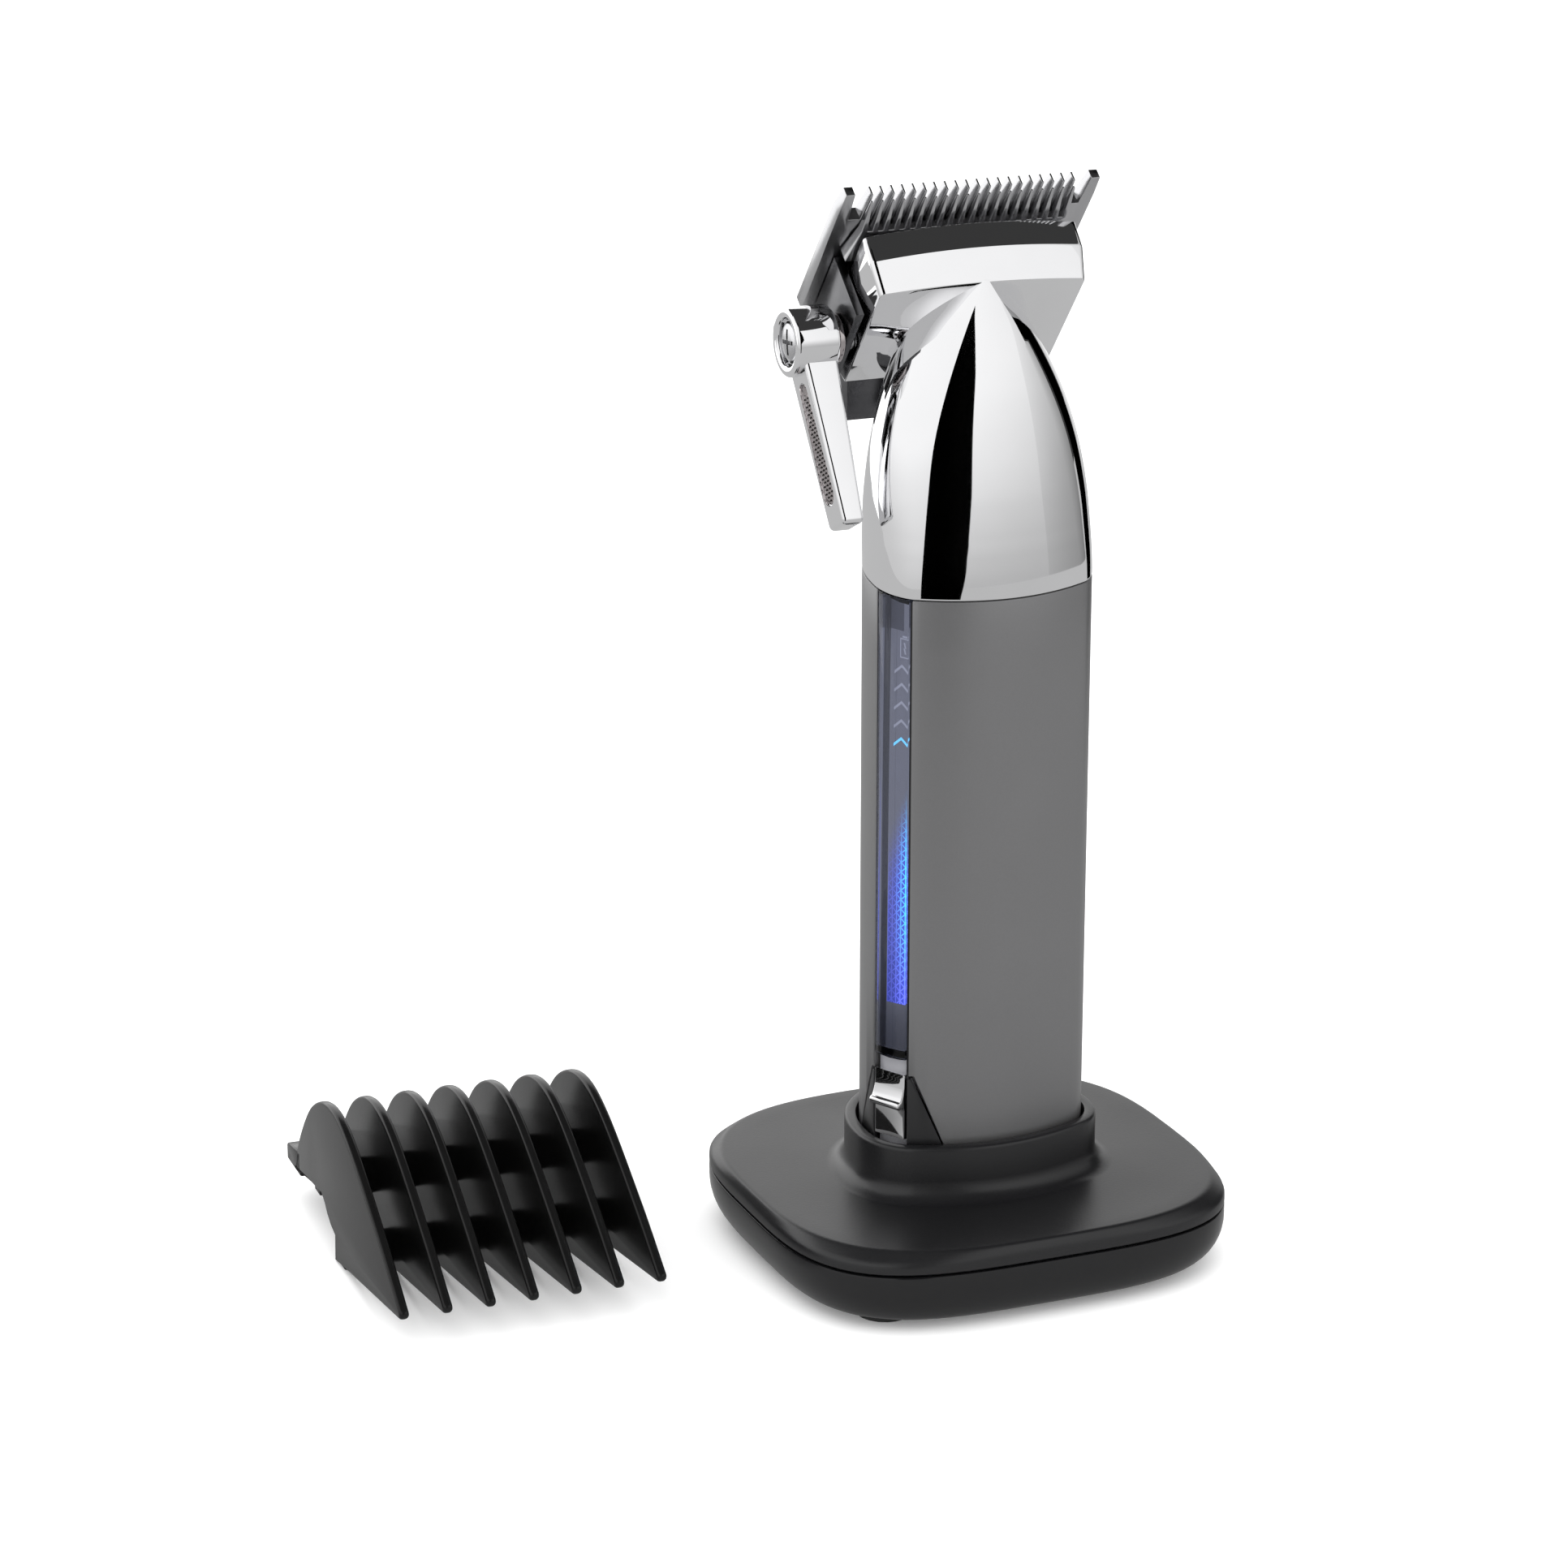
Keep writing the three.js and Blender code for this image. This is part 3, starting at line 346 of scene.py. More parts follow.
def rod(radius, x, y, z0, z1, segments=48, top=None):
    bm = bmesh.new()
    bmesh.ops.create_cone(bm, cap_ends=True, segments=segments, radius1=radius,
                          radius2=radius if top is None else top, depth=z1 - z0)
    bmesh.ops.translate(bm, vec=(x, y, (z0 + z1) / 2), verts=bm.verts)
    return bm


def moved(bm, matrix):
    bmesh.ops.transform(bm, matrix=matrix, verts=bm.verts)
    return bm


alongX = Matrix.Rotation(math.radians(90), 4, "Y")


def raised(bm, pushed, by):
    bmesh.ops.translate(bm, vec=by, verts=[v for v in pushed["geom"] if isinstance(v, bmesh.types.BMVert)])


def slab(outline, z0, z1):
    # an outline drawn in x and y, pushed up from z0 to z1
    bm = bmesh.new()
    bm.faces.new([bm.verts.new((x, y, z0)) for x, y in outline])
    raised(bm, bmesh.ops.extrude_face_region(bm, geom=bm.faces[:]), (0, 0, z1 - z0))
    bmesh.ops.recalc_face_normals(bm, faces=bm.faces)
    return bm


def sideSlab(outline, x0, x1):
    # the same, with the outline drawn in y and z and pushed along x
    return moved(slab(outline, x0, x1), Matrix(((0, 0, 1, 0), (1, 0, 0, 0), (0, 1, 0, 0), (0, 0, 0, 1))))


def rounded(outline, x0, x1, radius, steps=4):
    # a side slab with its long edges rounded
    turns = [i / steps * math.pi / 2 for i in range(steps + 1)]
    bend = [(radius * (1 - math.sin(turn)), radius * (1 - math.cos(turn))) for turn in turns]
    rings = [[(x0 + rise, y, z) for y, z in grown(outline, -inset)] for inset, rise in bend]
    rings += [[(x1 - rise, y, z) for y, z in grown(outline, -inset)] for inset, rise in reversed(bend)]
    return loft(rings)


def curved(points, steps):
    # a smooth line through the points
    ends = [points[0], *points, points[-1]]
    line = []
    for before, start, end, after in zip(ends, ends[1:], ends[2:], ends[3:]):
        for i in range(steps):
            t = i / steps
            shares = (2 * t ** 2 - t - t ** 3, 2 - 5 * t ** 2 + 3 * t ** 3,
                      t + 4 * t ** 2 - 3 * t ** 3, t ** 3 - t ** 2)
            line.append(tuple(0.5 * sum(share * value for share, value in zip(shares, values))
                              for values in zip(before, start, end, after)))
    return line + [points[-1]]


def lathe(profile, segments=96):
    # rings of radius and place along x, skinned end to end
    turns = [i / segments * 2 * math.pi for i in range(segments)]
    return loft([[(x, radius * math.cos(turn), radius * math.sin(turn)) for turn in turns]
                 for radius, x in profile], closed=True)


def joined(*parts):
    whole = bmesh.new()
    for part in parts:
        mesh = bpy.data.meshes.new("part")
        part.to_mesh(mesh)
        part.free()
        whole.from_mesh(mesh)
        bpy.data.meshes.remove(mesh)
    return whole


def softened(bm, width, segments=2, angle=25):
    # rounds the edges that turn by more than the angle
    edges = [e for e in bm.edges if len(e.link_faces) == 2 and e.calc_face_angle(0) > math.radians(angle)]
    bmesh.ops.bevel(bm, geom=edges, offset=width, offset_type="OFFSET", affect="EDGES", segments=segments,
                    profile=0.5, clamp_overlap=True, material=-1)
    return bm


def temporary(bm, name="tool"):
    mesh = bpy.data.meshes.new(name)
    bm.to_mesh(mesh)
    bm.free()
    thing = bpy.data.objects.new(name, mesh)
    bpy.context.scene.collection.objects.link(thing)
    return thing


def boolean(bm, operation, tool, selfCross=False):
    base = temporary(bm, "base")
    other = temporary(tool)
    modifier = base.modifiers.new("cut", "BOOLEAN")
    modifier.operation = operation
    modifier.solver = "EXACT"
    modifier.use_self = selfCross
    modifier.object = other
    result = bmesh.new()
    result.from_object(base, bpy.context.evaluated_depsgraph_get())
    for thing in (base, other):
        bpy.data.meshes.remove(thing.data)
    bmesh.ops.remove_doubles(result, verts=result.verts, dist=0.0005)
    return result


def cut(bm, *tools):
    return boolean(bm, "DIFFERENCE", joined(*tools), len(tools) > 1)


def piece(bm, name, body, material, replaced, place=onTable, sharp=32):
    # a finished piece, put in its place, riding its body
    moved(bm, place)
    mesh = bpy.data.meshes.new(name)
    bm.to_mesh(mesh)
    bm.free()
    mesh.shade_smooth()
    mesh.set_sharp_from_angle(angle=math.radians(sharp))
    mesh.materials.append(material)
    thing = bpy.data.objects.new(name, mesh)
    bpy.context.scene.collection.objects.link(thing)
    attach(thing, body)
    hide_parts(*replaced)
    return thing


def merged(node, flat=0.5):
    # a copy of a CAD piece with its loose triangles joined up
    bm = bmesh.new()
    bm.from_mesh(nodes[node].data)
    bmesh.ops.remove_doubles(bm, verts=bm.verts, dist=0.000004)
    bmesh.ops.dissolve_limit(bm, angle_limit=math.radians(flat), verts=bm.verts, edges=bm.edges)
    return bm


def refined(node, material, width=0.15, segments=2, angle=25, sharp=32, flat=0.5, extra=None):
    # a merged copy of a CAD piece, with its edges rounded
    bm = merged(node, flat)
    if width:
        softened(bm, width * mm, segments, angle)
    if extra:
        bm = joined(bm, extra)
    name = node.title().replace("_", "") + "Piece"
    return piece(bm, name, nodes[node]["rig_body"], material, [node], Matrix.Identity(4), sharp)


def grown(outline, distance):
    # an outline pushed outwards, or inwards by less than nothing
    spread = []
    for i, (x, y) in enumerate(outline):
        px, py = outline[i - 1]
        nx, ny = outline[(i + 1) % len(outline)]
        length = math.hypot(nx - px, ny - py) or 1
        spread.append((x + (ny - py) / length * distance, y - (nx - px) / length * distance))
    return spread


def clipperOutline(section, grow=0.0, fine=1):
    # shallow front arc, crease, corner facet and round back, counter-clockwise from the middle of the front
    creaseX, creaseY, wide = section["creaseX"], section["creaseY"], section["halfWidth"]
    front, back, widest = section["front"], section["back"], section["widestY"]
    frontSteps, facetSteps, backSteps = 14 * fine, 7 * fine, 27 * fine
    half = []
    for i in range(frontSteps + 1):
        t = i / frontSteps
        half.append((creaseX * t, front + (creaseY - front) * t * t))
    controlX = wide - 0.11 * (wide - creaseX)
    controlY = creaseY + 0.33 * (widest - creaseY)
    for i in range(1, facetSteps + 1):
        t = i / facetSteps
        start, middle, end = (1 - t) ** 2, 2 * t * (1 - t), t * t
        half.append((start * creaseX + middle * controlX + end * wide,
                     start * creaseY + middle * controlY + end * widest))
    for i in range(1, backSteps + 1):
        angle = i / backSteps * math.pi / 2
        x = wide * max(math.cos(angle), 0) ** (2 / 2.3)
        y = widest + (back - widest) * math.sin(angle) ** (2 / 2.3)
        half.append((0 if i == backSteps else x, y))
    return grown(half + [(-x, y) for x, y in half[-2:0:-1]], grow)


def squircle(halfX, halfY, power, count):
    outline = []
    for i in range(count):
        angle = i / count * 2 * math.pi - math.pi / 2
        x, y = math.cos(angle), math.sin(angle)
        outline.append((halfX * math.copysign(abs(x) ** (2 / power), x),
                        halfY * math.copysign(abs(y) ** (2 / power), y)))
    return outline


def ringAt(outline, z):
    # lifts an outline to a height, or to a height that depends on y
    return [(x, y, z(y) if callable(z) else z) for x, y in outline]


def seam(y, lift=0.0):
    # the joint between body and head slopes up towards the back
    return clipper["seamZ"] + clipper["seamSlope"] * (y - clipper["widestY"]) + lift


# the charging stand, its heights counted from the table
stand = {
    "halfX": 39.9, "halfY": 37.4, "corner": 3.6, "topCorner": 3.05, "partingZ": 10.6, "bottomZ": 0.8,
    "inset": 6, "topZ": 14.5, "rimZ": 23.7, "rimWall": 2.0, "fit": 0.5, "fillet": 3.2, "socketZ": 8.4,
    "socketFloor": 1.6, "footX": 25, "footY": 23.5, "footRadius": 5, "screwX": 30.5, "screwY": 9,
    "screwRadius": 2.4, "contactX": 6, "inletHalf": 4.6, "inletZ": 2.95, "inletHeight": 6.4,
}


def standRing(inset, z, power=stand["corner"]):
    count = len(clipperOutline(clipper))
    return ringAt(squircle(stand["halfX"] - inset, stand["halfY"] - inset, power, count), z)


def fourSpots(x, y):
    return [(i * x, j * y) for i, j in ((1, 1), (-1, 1), (-1, -1), (1, -1))]


def standTop():
    collar = clipperOutline(clipper, stand["fit"] + stand["rimWall"])
    socket = clipperOutline(clipper, stand["fit"])
    low, high = stand["partingZ"] + clipper["gap"], stand["topZ"]
    soft = stand["topCorner"]
    rings = [ringAt(collar, stand["socketZ"] - stand["socketFloor"]), ringAt(collar, low)]
    rings += [standRing(inset, z, power) for inset, z, power in (
        (0.25, low, 3.6), (0.02, low + 0.22, 3.6), (0, low + 0.6, 3.6), (0, 12.4, 3.58), (0.04, 12.8, 3.5),
        (0.2, 13.25, 3.35), (0.42, 13.75, 3.2), (0.62, 14.15, 3.08), (0.85, 14.38, soft),
        (1.15, 14.48, soft), (1.5, high, soft), (4.0, high + 0.02, 2.9),
    )]
    # the top sweeps up into the collar, whose rim rolls over into the socket
    rise = stand["fillet"]
    for i in range(9):
        angle = i / 8 * math.pi / 2
        rings.append(ringAt(grown(collar, rise * (1 - math.sin(angle))),
                            high + 0.02 + rise * (1 - math.cos(angle))))
    rim = stand["rimZ"]
    for grow, z in ((0, rim - 0.7), (-0.06, rim - 0.4), (-0.22, rim - 0.14), (-0.5, rim), (-1.7, rim),
                    (-1.88, rim - 0.08), (-2.0, rim - 0.3)):
        rings.append(ringAt(grown(collar, grow), z))
    rings.append(ringAt(socket, stand["socketZ"]))
    holes = [rod(1.8, x, 0, 0, 12, 24) for x in (-stand["contactX"], stand["contactX"])]
    pilots = [rod(1.6, x, y, 6, 10.95, 16) for x, y in fourSpots(stand["screwX"], stand["screwY"])]
    return cut(loft(rings), *holes, *pilots)


def standBase():
    depth = (stand["partingZ"] - stand["bottomZ"]) * 0.8
    rings = []
    for i in range(13):
        angle = i / 12 * math.pi / 2
        rings.append(standRing(stand["inset"] * (1 - math.sin(angle)),
                               stand["bottomZ"] + depth * (1 - math.cos(angle))))
    high = stand["partingZ"]
    for inset, z in ((0, high - 0.3), (0.06, high - 0.1), (0.25, high), (2, high), (2.2, 7), (6.4, 2.8)):
        rings.append(standRing(inset, z))
    feet, screws = fourSpots(stand["footX"], stand["footY"]), fourSpots(stand["screwX"], stand["screwY"])
    recesses = [rod(stand["footRadius"] + 0.3, x, y, 0, 2.2, 40) for x, y in feet]
    wells = [rod(stand["screwRadius"] + 0.3, x, y, 0, 2.4, 32) for x, y in screws]
    shanks = [rod(1.5, x, y, 2, 9, 20) for x, y in screws]
    half = stand["inletHalf"] + 0.3
    inletTop = stand["inletZ"] + stand["inletHeight"] + 0.3
    door = softened(box(-half, half, 30, 40, stand["inletZ"] - 0.15, inletTop), 0.5)
    return cut(cut(loft(rings), door), *recesses, *wells, *shanks)


piece(standTop(), "standTopShell", "stand", finishes["blackSatin"], ["stand_top_shell"])
piece(standBase(), "standBaseShell", "stand", finishes["blackGloss"], ["stand_base_shell"])
refined("charging_inlet", finishes["blackGloss"], 0.15)
for i in range(1, 5):
    refined(f"foot_{i}", finishes["rubber"], 0.3, 3)
print("charging stand made")


def bodyCuts():
    # the window's slot and the clearance round the end cap's wedge, on the front and on the flank
    toMm = onTable.inverted()
    slot = box(strip["near"] - 0.55, strip["near"] + strip["width"] + 0.3, -5, 5, 0, 140)
    moved(slot, toMm @ onStrip)
    edge = -clipper["creaseX"]
    top, low, spread = strip["wedgeTop"] + 0.6, 15.7, 0.3
    reach = strip["wedgeWidth"] + spread
    front = slab([(edge - 1, low), (edge + reach, low), (edge + 0.4 + spread, top), (edge - 1, top)], 0, 12)
    upright = Matrix.Rotation(math.radians(90), 4, "X")
    moved(front, Matrix.Translation((0, clipper["creaseY"] + 5, 0)) @ upright)
    side = clipper["widestY"]
    flank = sideSlab([(side - 1.6, low), (side - 1.6, top), (side + spread, top), (side + reach, low)],
                     -22, -14)
    return slot, front, flank


def bodyShell():
    low, wall, edge = clipper["bottomZ"], clipper["wall"], clipper["edge"]
    outer = clipperOutline(clipper)
    rings = [ringAt(grown(outer, -wall), low), ringAt(grown(outer, -edge), low), ringAt(outer, low + edge)]
    rings += [ringAt(outer, z) for z in (30, 50, 70, 90, 108)]
    for grow, lift in ((0, -edge), (-0.3 * edge, -0.3 * edge), (-edge, 0), (-wall, 0)):
        rings.append(ringAt(grown(outer, grow), lambda y, lift=lift: seam(y, lift)))
    return cut(loft(rings, closed=True), *bodyCuts())


shell = softened(bodyShell(), 0.08, 2, 40)
piece(shell, "bodyShell", "clipper", finishes["gunmetal"], ["body_shell"])
# a thin black strip beside the lens, joined to the end cap: painted shade, a dark piece put where the recess
# between the lens and the front panel lies in shade
paintedShadeStrip = box(strip["near"] - 0.5, strip["near"] - 0.06, -1.5, -0.05, strip["wedgeTop"], clipper["seamZ"] - 1.2)
refined("end_cap", finishes["blackSatin"], 0.12, extra=moved(paintedShadeStrip, onStrip))
refined("window_lens", finishes["lens"], 0.12)
refined("switch_plate", finishes["greyPlastic"], 0.12)
print("body made")

# a shallow tray behind the lens, with the printed mesh and marks on its floor
tray = {
    "near": 0.9, "far": 7.6, "depth": 2.6, "low": 39.3, "high": 116.5, "wall": 0.3, "rim": 1.75, "sunk": 0.25,
}


def lightTray():
    bm = box(tray["near"], tray["far"], -tray["depth"], -tray["rim"], tray["low"], tray["high"])
    lid = [f for f in bm.faces if f.normal.y > 0.9]
    bmesh.ops.inset_region(bm, faces=lid, thickness=tray["wall"])
    pushed = bmesh.ops.extrude_face_region(bm, geom=lid)
    bmesh.ops.delete(bm, geom=lid, context="FACES_ONLY")
    raised(bm, pushed, (0, -tray["sunk"], 0))
    return bm


piece(lightTray(), "lightPanelTray", "clipper", finishes["glow"], ["light_panel"], onStrip)

slider = {
    "low": 24.2, "high": 35.7, "near": 0.75, "far": 6.95, "back": -0.6, "plate": 0.5, "crest": 2.1,
    "ridgeZ": 30.4, "nose": 0.7, "edge": 0.22,
}


def switchSlider():
    # its side profile, height against outwards: a plate that sweeps out into a rounded finger ridge
    ridge, nose, plate, back = slider["ridgeZ"], slider["nose"], slider["plate"], slider["back"]
    middle = slider["crest"] - nose
    sweep = curved([(ridge + 4.6, plate), (ridge + 2.9, plate + 0.1), (ridge + 1.4, plate + 0.55),
                    (ridge + nose, middle)], 6)
    turns = [i / 12 * math.pi for i in range(1, 13)]
    profile = [(slider["high"], back), (slider["high"], plate), *sweep]
    profile += [(ridge + nose * math.cos(turn), middle + nose * math.sin(turn)) for turn in turns]
    profile += [(ridge - nose + 0.06, plate + 0.35), (ridge - nose - 0.1, plate + 0.08),
                (ridge - nose - 0.4, plate), (slider["low"], plate), (slider["low"], back)]
    outline = [(out, z) for z, out in reversed(profile)]
    return rounded(outline, slider["near"], slider["far"], slider["edge"], 3)


piece(switchSlider(), "switchSliderPiece", "switch_slider", finishes["chrome"], ["switch_slider"],
      onStrip)
print("window and switch made")

# the neck's sections in the order of levelKeys, which follow the seam's own section
neckLevels = [
    (125, 19, -14.3, 15.2, 14.7, -10.8, -3.6), (133, 18.6, -13.1, 14.4, 13.5, -9.9, -2.6),
    (142, 17.1, -11.4, 13.2, 11.5, -8.9, -1.2), (151, 14.2, -9.4, 12.4, 8.4, -7.8, 0.6),
    (160, 9.6, -6.9, 11.6, 4.4, -6.3, 2.4), (165.4, 5.2, -4.75, 10.6, 1.4, -4.65, 3.4),
    (168, 2.6, -3.6, 9.9, 0.1, -3.6, 3.9),
]
levelKeys = ("z", "halfWidth", "front", "back", "creaseX", "creaseY", "widestY")
levels = [{"z": clipper["seamZ"], **{key: clipper[key] for key in levelKeys[1:]}}]
levels += [dict(zip(levelKeys, level)) for level in neckLevels]
head = {
    "rearW": 4.9, "creaseW": 9.4, "frontW": 14.5, "lipRear": -6.2, "lipCrease": -6.9, "lipFront": -9.1,
    "halfRear": 18.8, "halfFront": 18.1, "endU": -31.5, "archRear": 1.5, "archFront": 1.05, "corner": 0.9,
    "neckTop": 167.2, "neckSteps": 46, "bore": 2.3, "boreU": -23.8, "boreW": 11.3,
}


def neckSlope(key, k):
    # how fast a size of the section changes at a level
    if k == 0:
        return 0
    after = min(k + 1, len(levels) - 1)
    return (levels[after][key] - levels[k - 1][key]) / (levels[after]["z"] - levels[k - 1]["z"])


def neckAt(z):
    # a smooth curve through the levels for each size of the section
    i = min(max(bisect.bisect([level["z"] for level in levels], z) - 1, 0), len(levels) - 2)
    low, high = levels[i], levels[i + 1]
    span = high["z"] - low["z"]
    t = (z - low["z"]) / span
    section = {}
    for key in levelKeys[1:]:
        section[key] = ((2 * t ** 3 - 3 * t ** 2 + 1) * low[key] + (3 * t ** 2 - 2 * t ** 3) * high[key]
                        + (t ** 3 - 2 * t ** 2 + t) * span * neckSlope(key, i)
                        + (t ** 3 - t ** 2) * span * neckSlope(key, i + 1))
    return section


def neckRing(z, grow=0.0, lift=0.0, fine=1):
    level = neckAt(z)
    lean = clipper["seamSlope"] * max(0, 1 - (z - clipper["seamZ"]) / 15)
    return ringAt(clipperOutline(level, grow, fine), lambda y: z + lift + lean * (y - clipper["widestY"]))


def slabRing(w, lip, half, arch):
    # the lip's arch from right to left, round corners, and the square lower end
    corner, steps = head["corner"], 24
    points = []
    for i in range(steps + 1):
        t = 1 - 2 * i / steps
        points.append(((half - corner) * t, lip + arch * (1 - t * t), w))
    turns = [i / 4 * math.pi / 2 for i in range(1, 5)]
    left = [(-half + corner * (1 - math.sin(turn)), lip - corner * (1 - math.cos(turn)), w) for turn in turns]
    right = [(-x, u, depth) for x, u, depth in reversed(left)]
    return points + left + [(-half, head["endU"], w), (half, head["endU"], w)] + right


def headHousing():
    seamZ = clipper["seamZ"]
    rings = [neckRing(seamZ, -0.3, 0.15), neckRing(seamZ, -0.08, 0.22), neckRing(seamZ, 0, 0.45)]
    steps = head["neckSteps"]
    rings += [neckRing(seamZ + (head["neckTop"] - seamZ) * i / steps, 0, 0.15 if i < 8 else 0.0)
              for i in range(1, steps + 1)]
    lips = softened(loft([
        slabRing(head["rearW"], head["lipRear"], head["halfRear"], head["archRear"]),
        slabRing(head["creaseW"], head["lipCrease"], head["halfRear"], head["archRear"]),
        slabRing(head["frontW"], head["lipFront"], head["halfFront"], head["archFront"]),
    ]), 0.22, 3, 9)
    fromBlades = onTable.inverted() @ onBlades
    whole = boolean(loft(rings), "UNION", moved(lips, fromBlades))
    cavity = loft([neckRing(z, -clipper["wall"], -3 if z < 119 else 0)
                   for z in (118.2, 125, 133, 142, 151, 158)])
    # room for the drive and its fork, all that lies behind the bracket, and the lever's bore
    end = head["endU"] + 3.4
    bore = moved(rod(head["bore"], 0, 0, -30, -10, 32),
                 Matrix.Translation((0, head["boreU"], head["boreW"])) @ alongX)
    inHead = [box(-16.4, 16.4, end, -12, 1.9, 12.9), box(-16.4, 16.4, end, -9, 1.9, 10),
              box(-40, 40, -70, 20, -30, head["rearW"] + 0.01), bore]
    passage = box(-17, 17, 13, 40, 141.7, 156.8)
    for tool in [cavity, *[moved(shape, fromBlades) for shape in inHead], passage]:
        whole = boolean(whole, "DIFFERENCE", tool)
    return whole


piece(headHousing(), "headHousingPiece", "clipper", finishes["chrome"], ["head_housing"], sharp=16)
print("head housing made")

refined("fixed_blade", finishes["steel"], 0.1, 2, 20)

cutter = {"faceW": 4.3, "endU": -13, "thinning": 0.182, "edge": 0.1}


def movingBlade():
    # the front face is ground away towards the tips
    bm = moved(merged("moving_blade"), onBlades.inverted())
    for vertex in bm.verts:
        if vertex.co.z > cutter["faceW"] - 1:
            vertex.co.z = cutter["faceW"] - cutter["thinning"] * (vertex.co.y - cutter["endU"])
    return softened(bm, cutter["edge"], 2, 20)


piece(movingBlade(), "movingBladePiece", nodes["moving_blade"]["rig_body"], finishes["steel"],
      ["moving_blade"], onBlades)
refined("blade_bracket", finishes["darkSteel"], 0.25, 2)
for name in ("blade_screw_1", "blade_screw_2"):
    refined(name, finishes["steel"], 0.2, 3)
for name in ("cutter_carrier", "tension_spring"):
    refined(name, finishes["steel"], 0.12)
refined("lever_cam", finishes["darkChrome"], 0.3, 3)

# the lever is drawn hanging from its axis, then leaned forward
lever = {
    "y": 8.5754, "z": 156.9398, "lean": -25.5, "boss": 5.7, "outer": -29.6, "inner": -22.2, "recess": 3.9,
    "recessFloor": -28.0, "bore": 2.3, "end": -31, "rootX": -28.4, "tipX": -26.2, "armX": -22.4,
    "rootHalf": 3.6, "tipHalf": 3.2, "edge": 0.7, "screw": 3.15, "slotTurn": 20, "gripTop": -8.4,
    "gripEnd": -25, "gripHigh": 1.3, "gripLow": 2.1, "stud": 1.25, "studRise": 0.46,
}
onLever = (onTable @ Matrix.Translation((0, lever["y"], lever["z"]))
           @ Matrix.Rotation(math.radians(lever["lean"]), 4, "X"))
leverSlope = (lever["tipX"] - lever["rootX"]) / (lever["end"] + 2)


def armRing(z, inset=0.0):
    # the arm's rounded section, which tapers towards its lower end
    t = (z + 2) / (lever["end"] + 2)
    half = lever["rootHalf"] + (lever["tipHalf"] - lever["rootHalf"]) * t - inset
    outer = lever["rootX"] + (lever["tipX"] - lever["rootX"]) * t + inset
    inner = lever["armX"] - inset
    radius = max(lever["edge"] - inset, 0.05)
    near, far, side = inner - radius, outer + radius, half - radius
    ring = []
    for x, y, start in ((near, side, 0), (far, side, 90), (far, -side, 180), (near, -side, 270)):
        for i in range(5):
            angle = math.radians(start + 22.5 * i)
            ring.append((x + radius * math.cos(angle), y + radius * math.sin(angle), z))
    return ring


def gripOutline(grow):
    # a long drop, in y and z
    points = []
    for z, radius, start in ((lever["gripTop"], lever["gripHigh"] + grow, 0),
                             (lever["gripEnd"], lever["gripLow"] + grow, 180)):
        turns = [math.radians(start + 15 * i) for i in range(13)]
        points += [(radius * math.cos(turn), z + radius * math.sin(turn)) for turn in turns]
    return points


def faceX(z):
    return lever["rootX"] + leverSlope * (z + 2)


def followFace(bm):
    # slants a flat piece so that it lies along the arm's outer face
    for vertex in bm.verts:
        vertex.co.x += faceX(vertex.co.z)
    return bm


def taperLever():
    turns = [i / 5 * math.pi / 2 for i in range(6)]
    tip = [armRing(lever["end"] + 0.9 * (1 - math.cos(turn)), 0.9 * (1 - math.sin(turn))) for turn in turns]
    arm = loft(tip + [armRing(-20), armRing(-10), armRing(-1)])
    arm = cut(arm, moved(rod(5.1, 0, 0, -40, -10, 64), alongX))
    arm = cut(arm, followFace(sideSlab(gripOutline(0.22), -2, 0.62)))
    # a round boss with a rolled rim and a sunk face for the screw
    bore, widest, recess = lever["bore"], lever["boss"], lever["recess"]
    boss = lathe([(bore, lever["inner"]), (5.2, lever["inner"]), (5.55, -22.35), (widest, -22.75),
                  (widest, -29.05), (5.62, -29.32), (5.44, -29.52), (5.2, lever["outer"]),
                  (4.5, lever["outer"]), (4.2, -29.52), (4.0, -29.34), (recess, -29.0),
                  (recess, lever["recessFloor"]), (bore, lever["recessFloor"])])
    return boolean(boss, "UNION", arm)


def gripPad():
    # a flat pad with rows of small four-sided studs, set half a step over in every second row
    bm = followFace(rounded(gripOutline(0.0), 0.42, 0.66, 0.1, 2))
    studs = []
    step = lever["stud"]
    for row in range(40):
        for column in range(-3, 4):
            y = (column + (row % 2) / 2) * step
            z = lever["gripEnd"] - 1.6 + row * step / 2
            t = min(max((z - lever["gripEnd"]) / (lever["gripTop"] - lever["gripEnd"]), 0), 1)
            reach = lever["gripLow"] + (lever["gripHigh"] - lever["gripLow"]) * t - 0.3
            beyond = max(lever["gripEnd"] - z, z - lever["gripTop"], 0)
            if math.hypot(y, beyond) < reach and z < lever["gripTop"] + 1.3:
                stud = rod(step * 0.52, 0, 0, 0, lever["studRise"], 4, step * 0.12)
                moved(stud, Matrix.Translation((0.46, y, z)) @ Matrix.Rotation(math.radians(-90), 4, "Y"))
                studs.append(stud)
    return joined(bm, followFace(joined(*studs)))


def leverAxle():
    # a pin with a domed head, crossed by two slots
    pin = lathe([(0.4, -13), (2.0, -13), (2.0, -27.7), (lever["screw"], -27.8), (lever["screw"], -28.7),
                 (3.0, -29.0), (2.6, -29.15), (1.4, -29.25), (0.4, -29.28)], 64)
    slots = [moved(box(-29.6, -28.45, -2.1, 2.1, -0.32, 0.32), Matrix.Rotation(math.radians(turn), 4, "X"))
             for turn in (lever["slotTurn"], lever["slotTurn"] + 90)]
    return cut(pin, *slots)


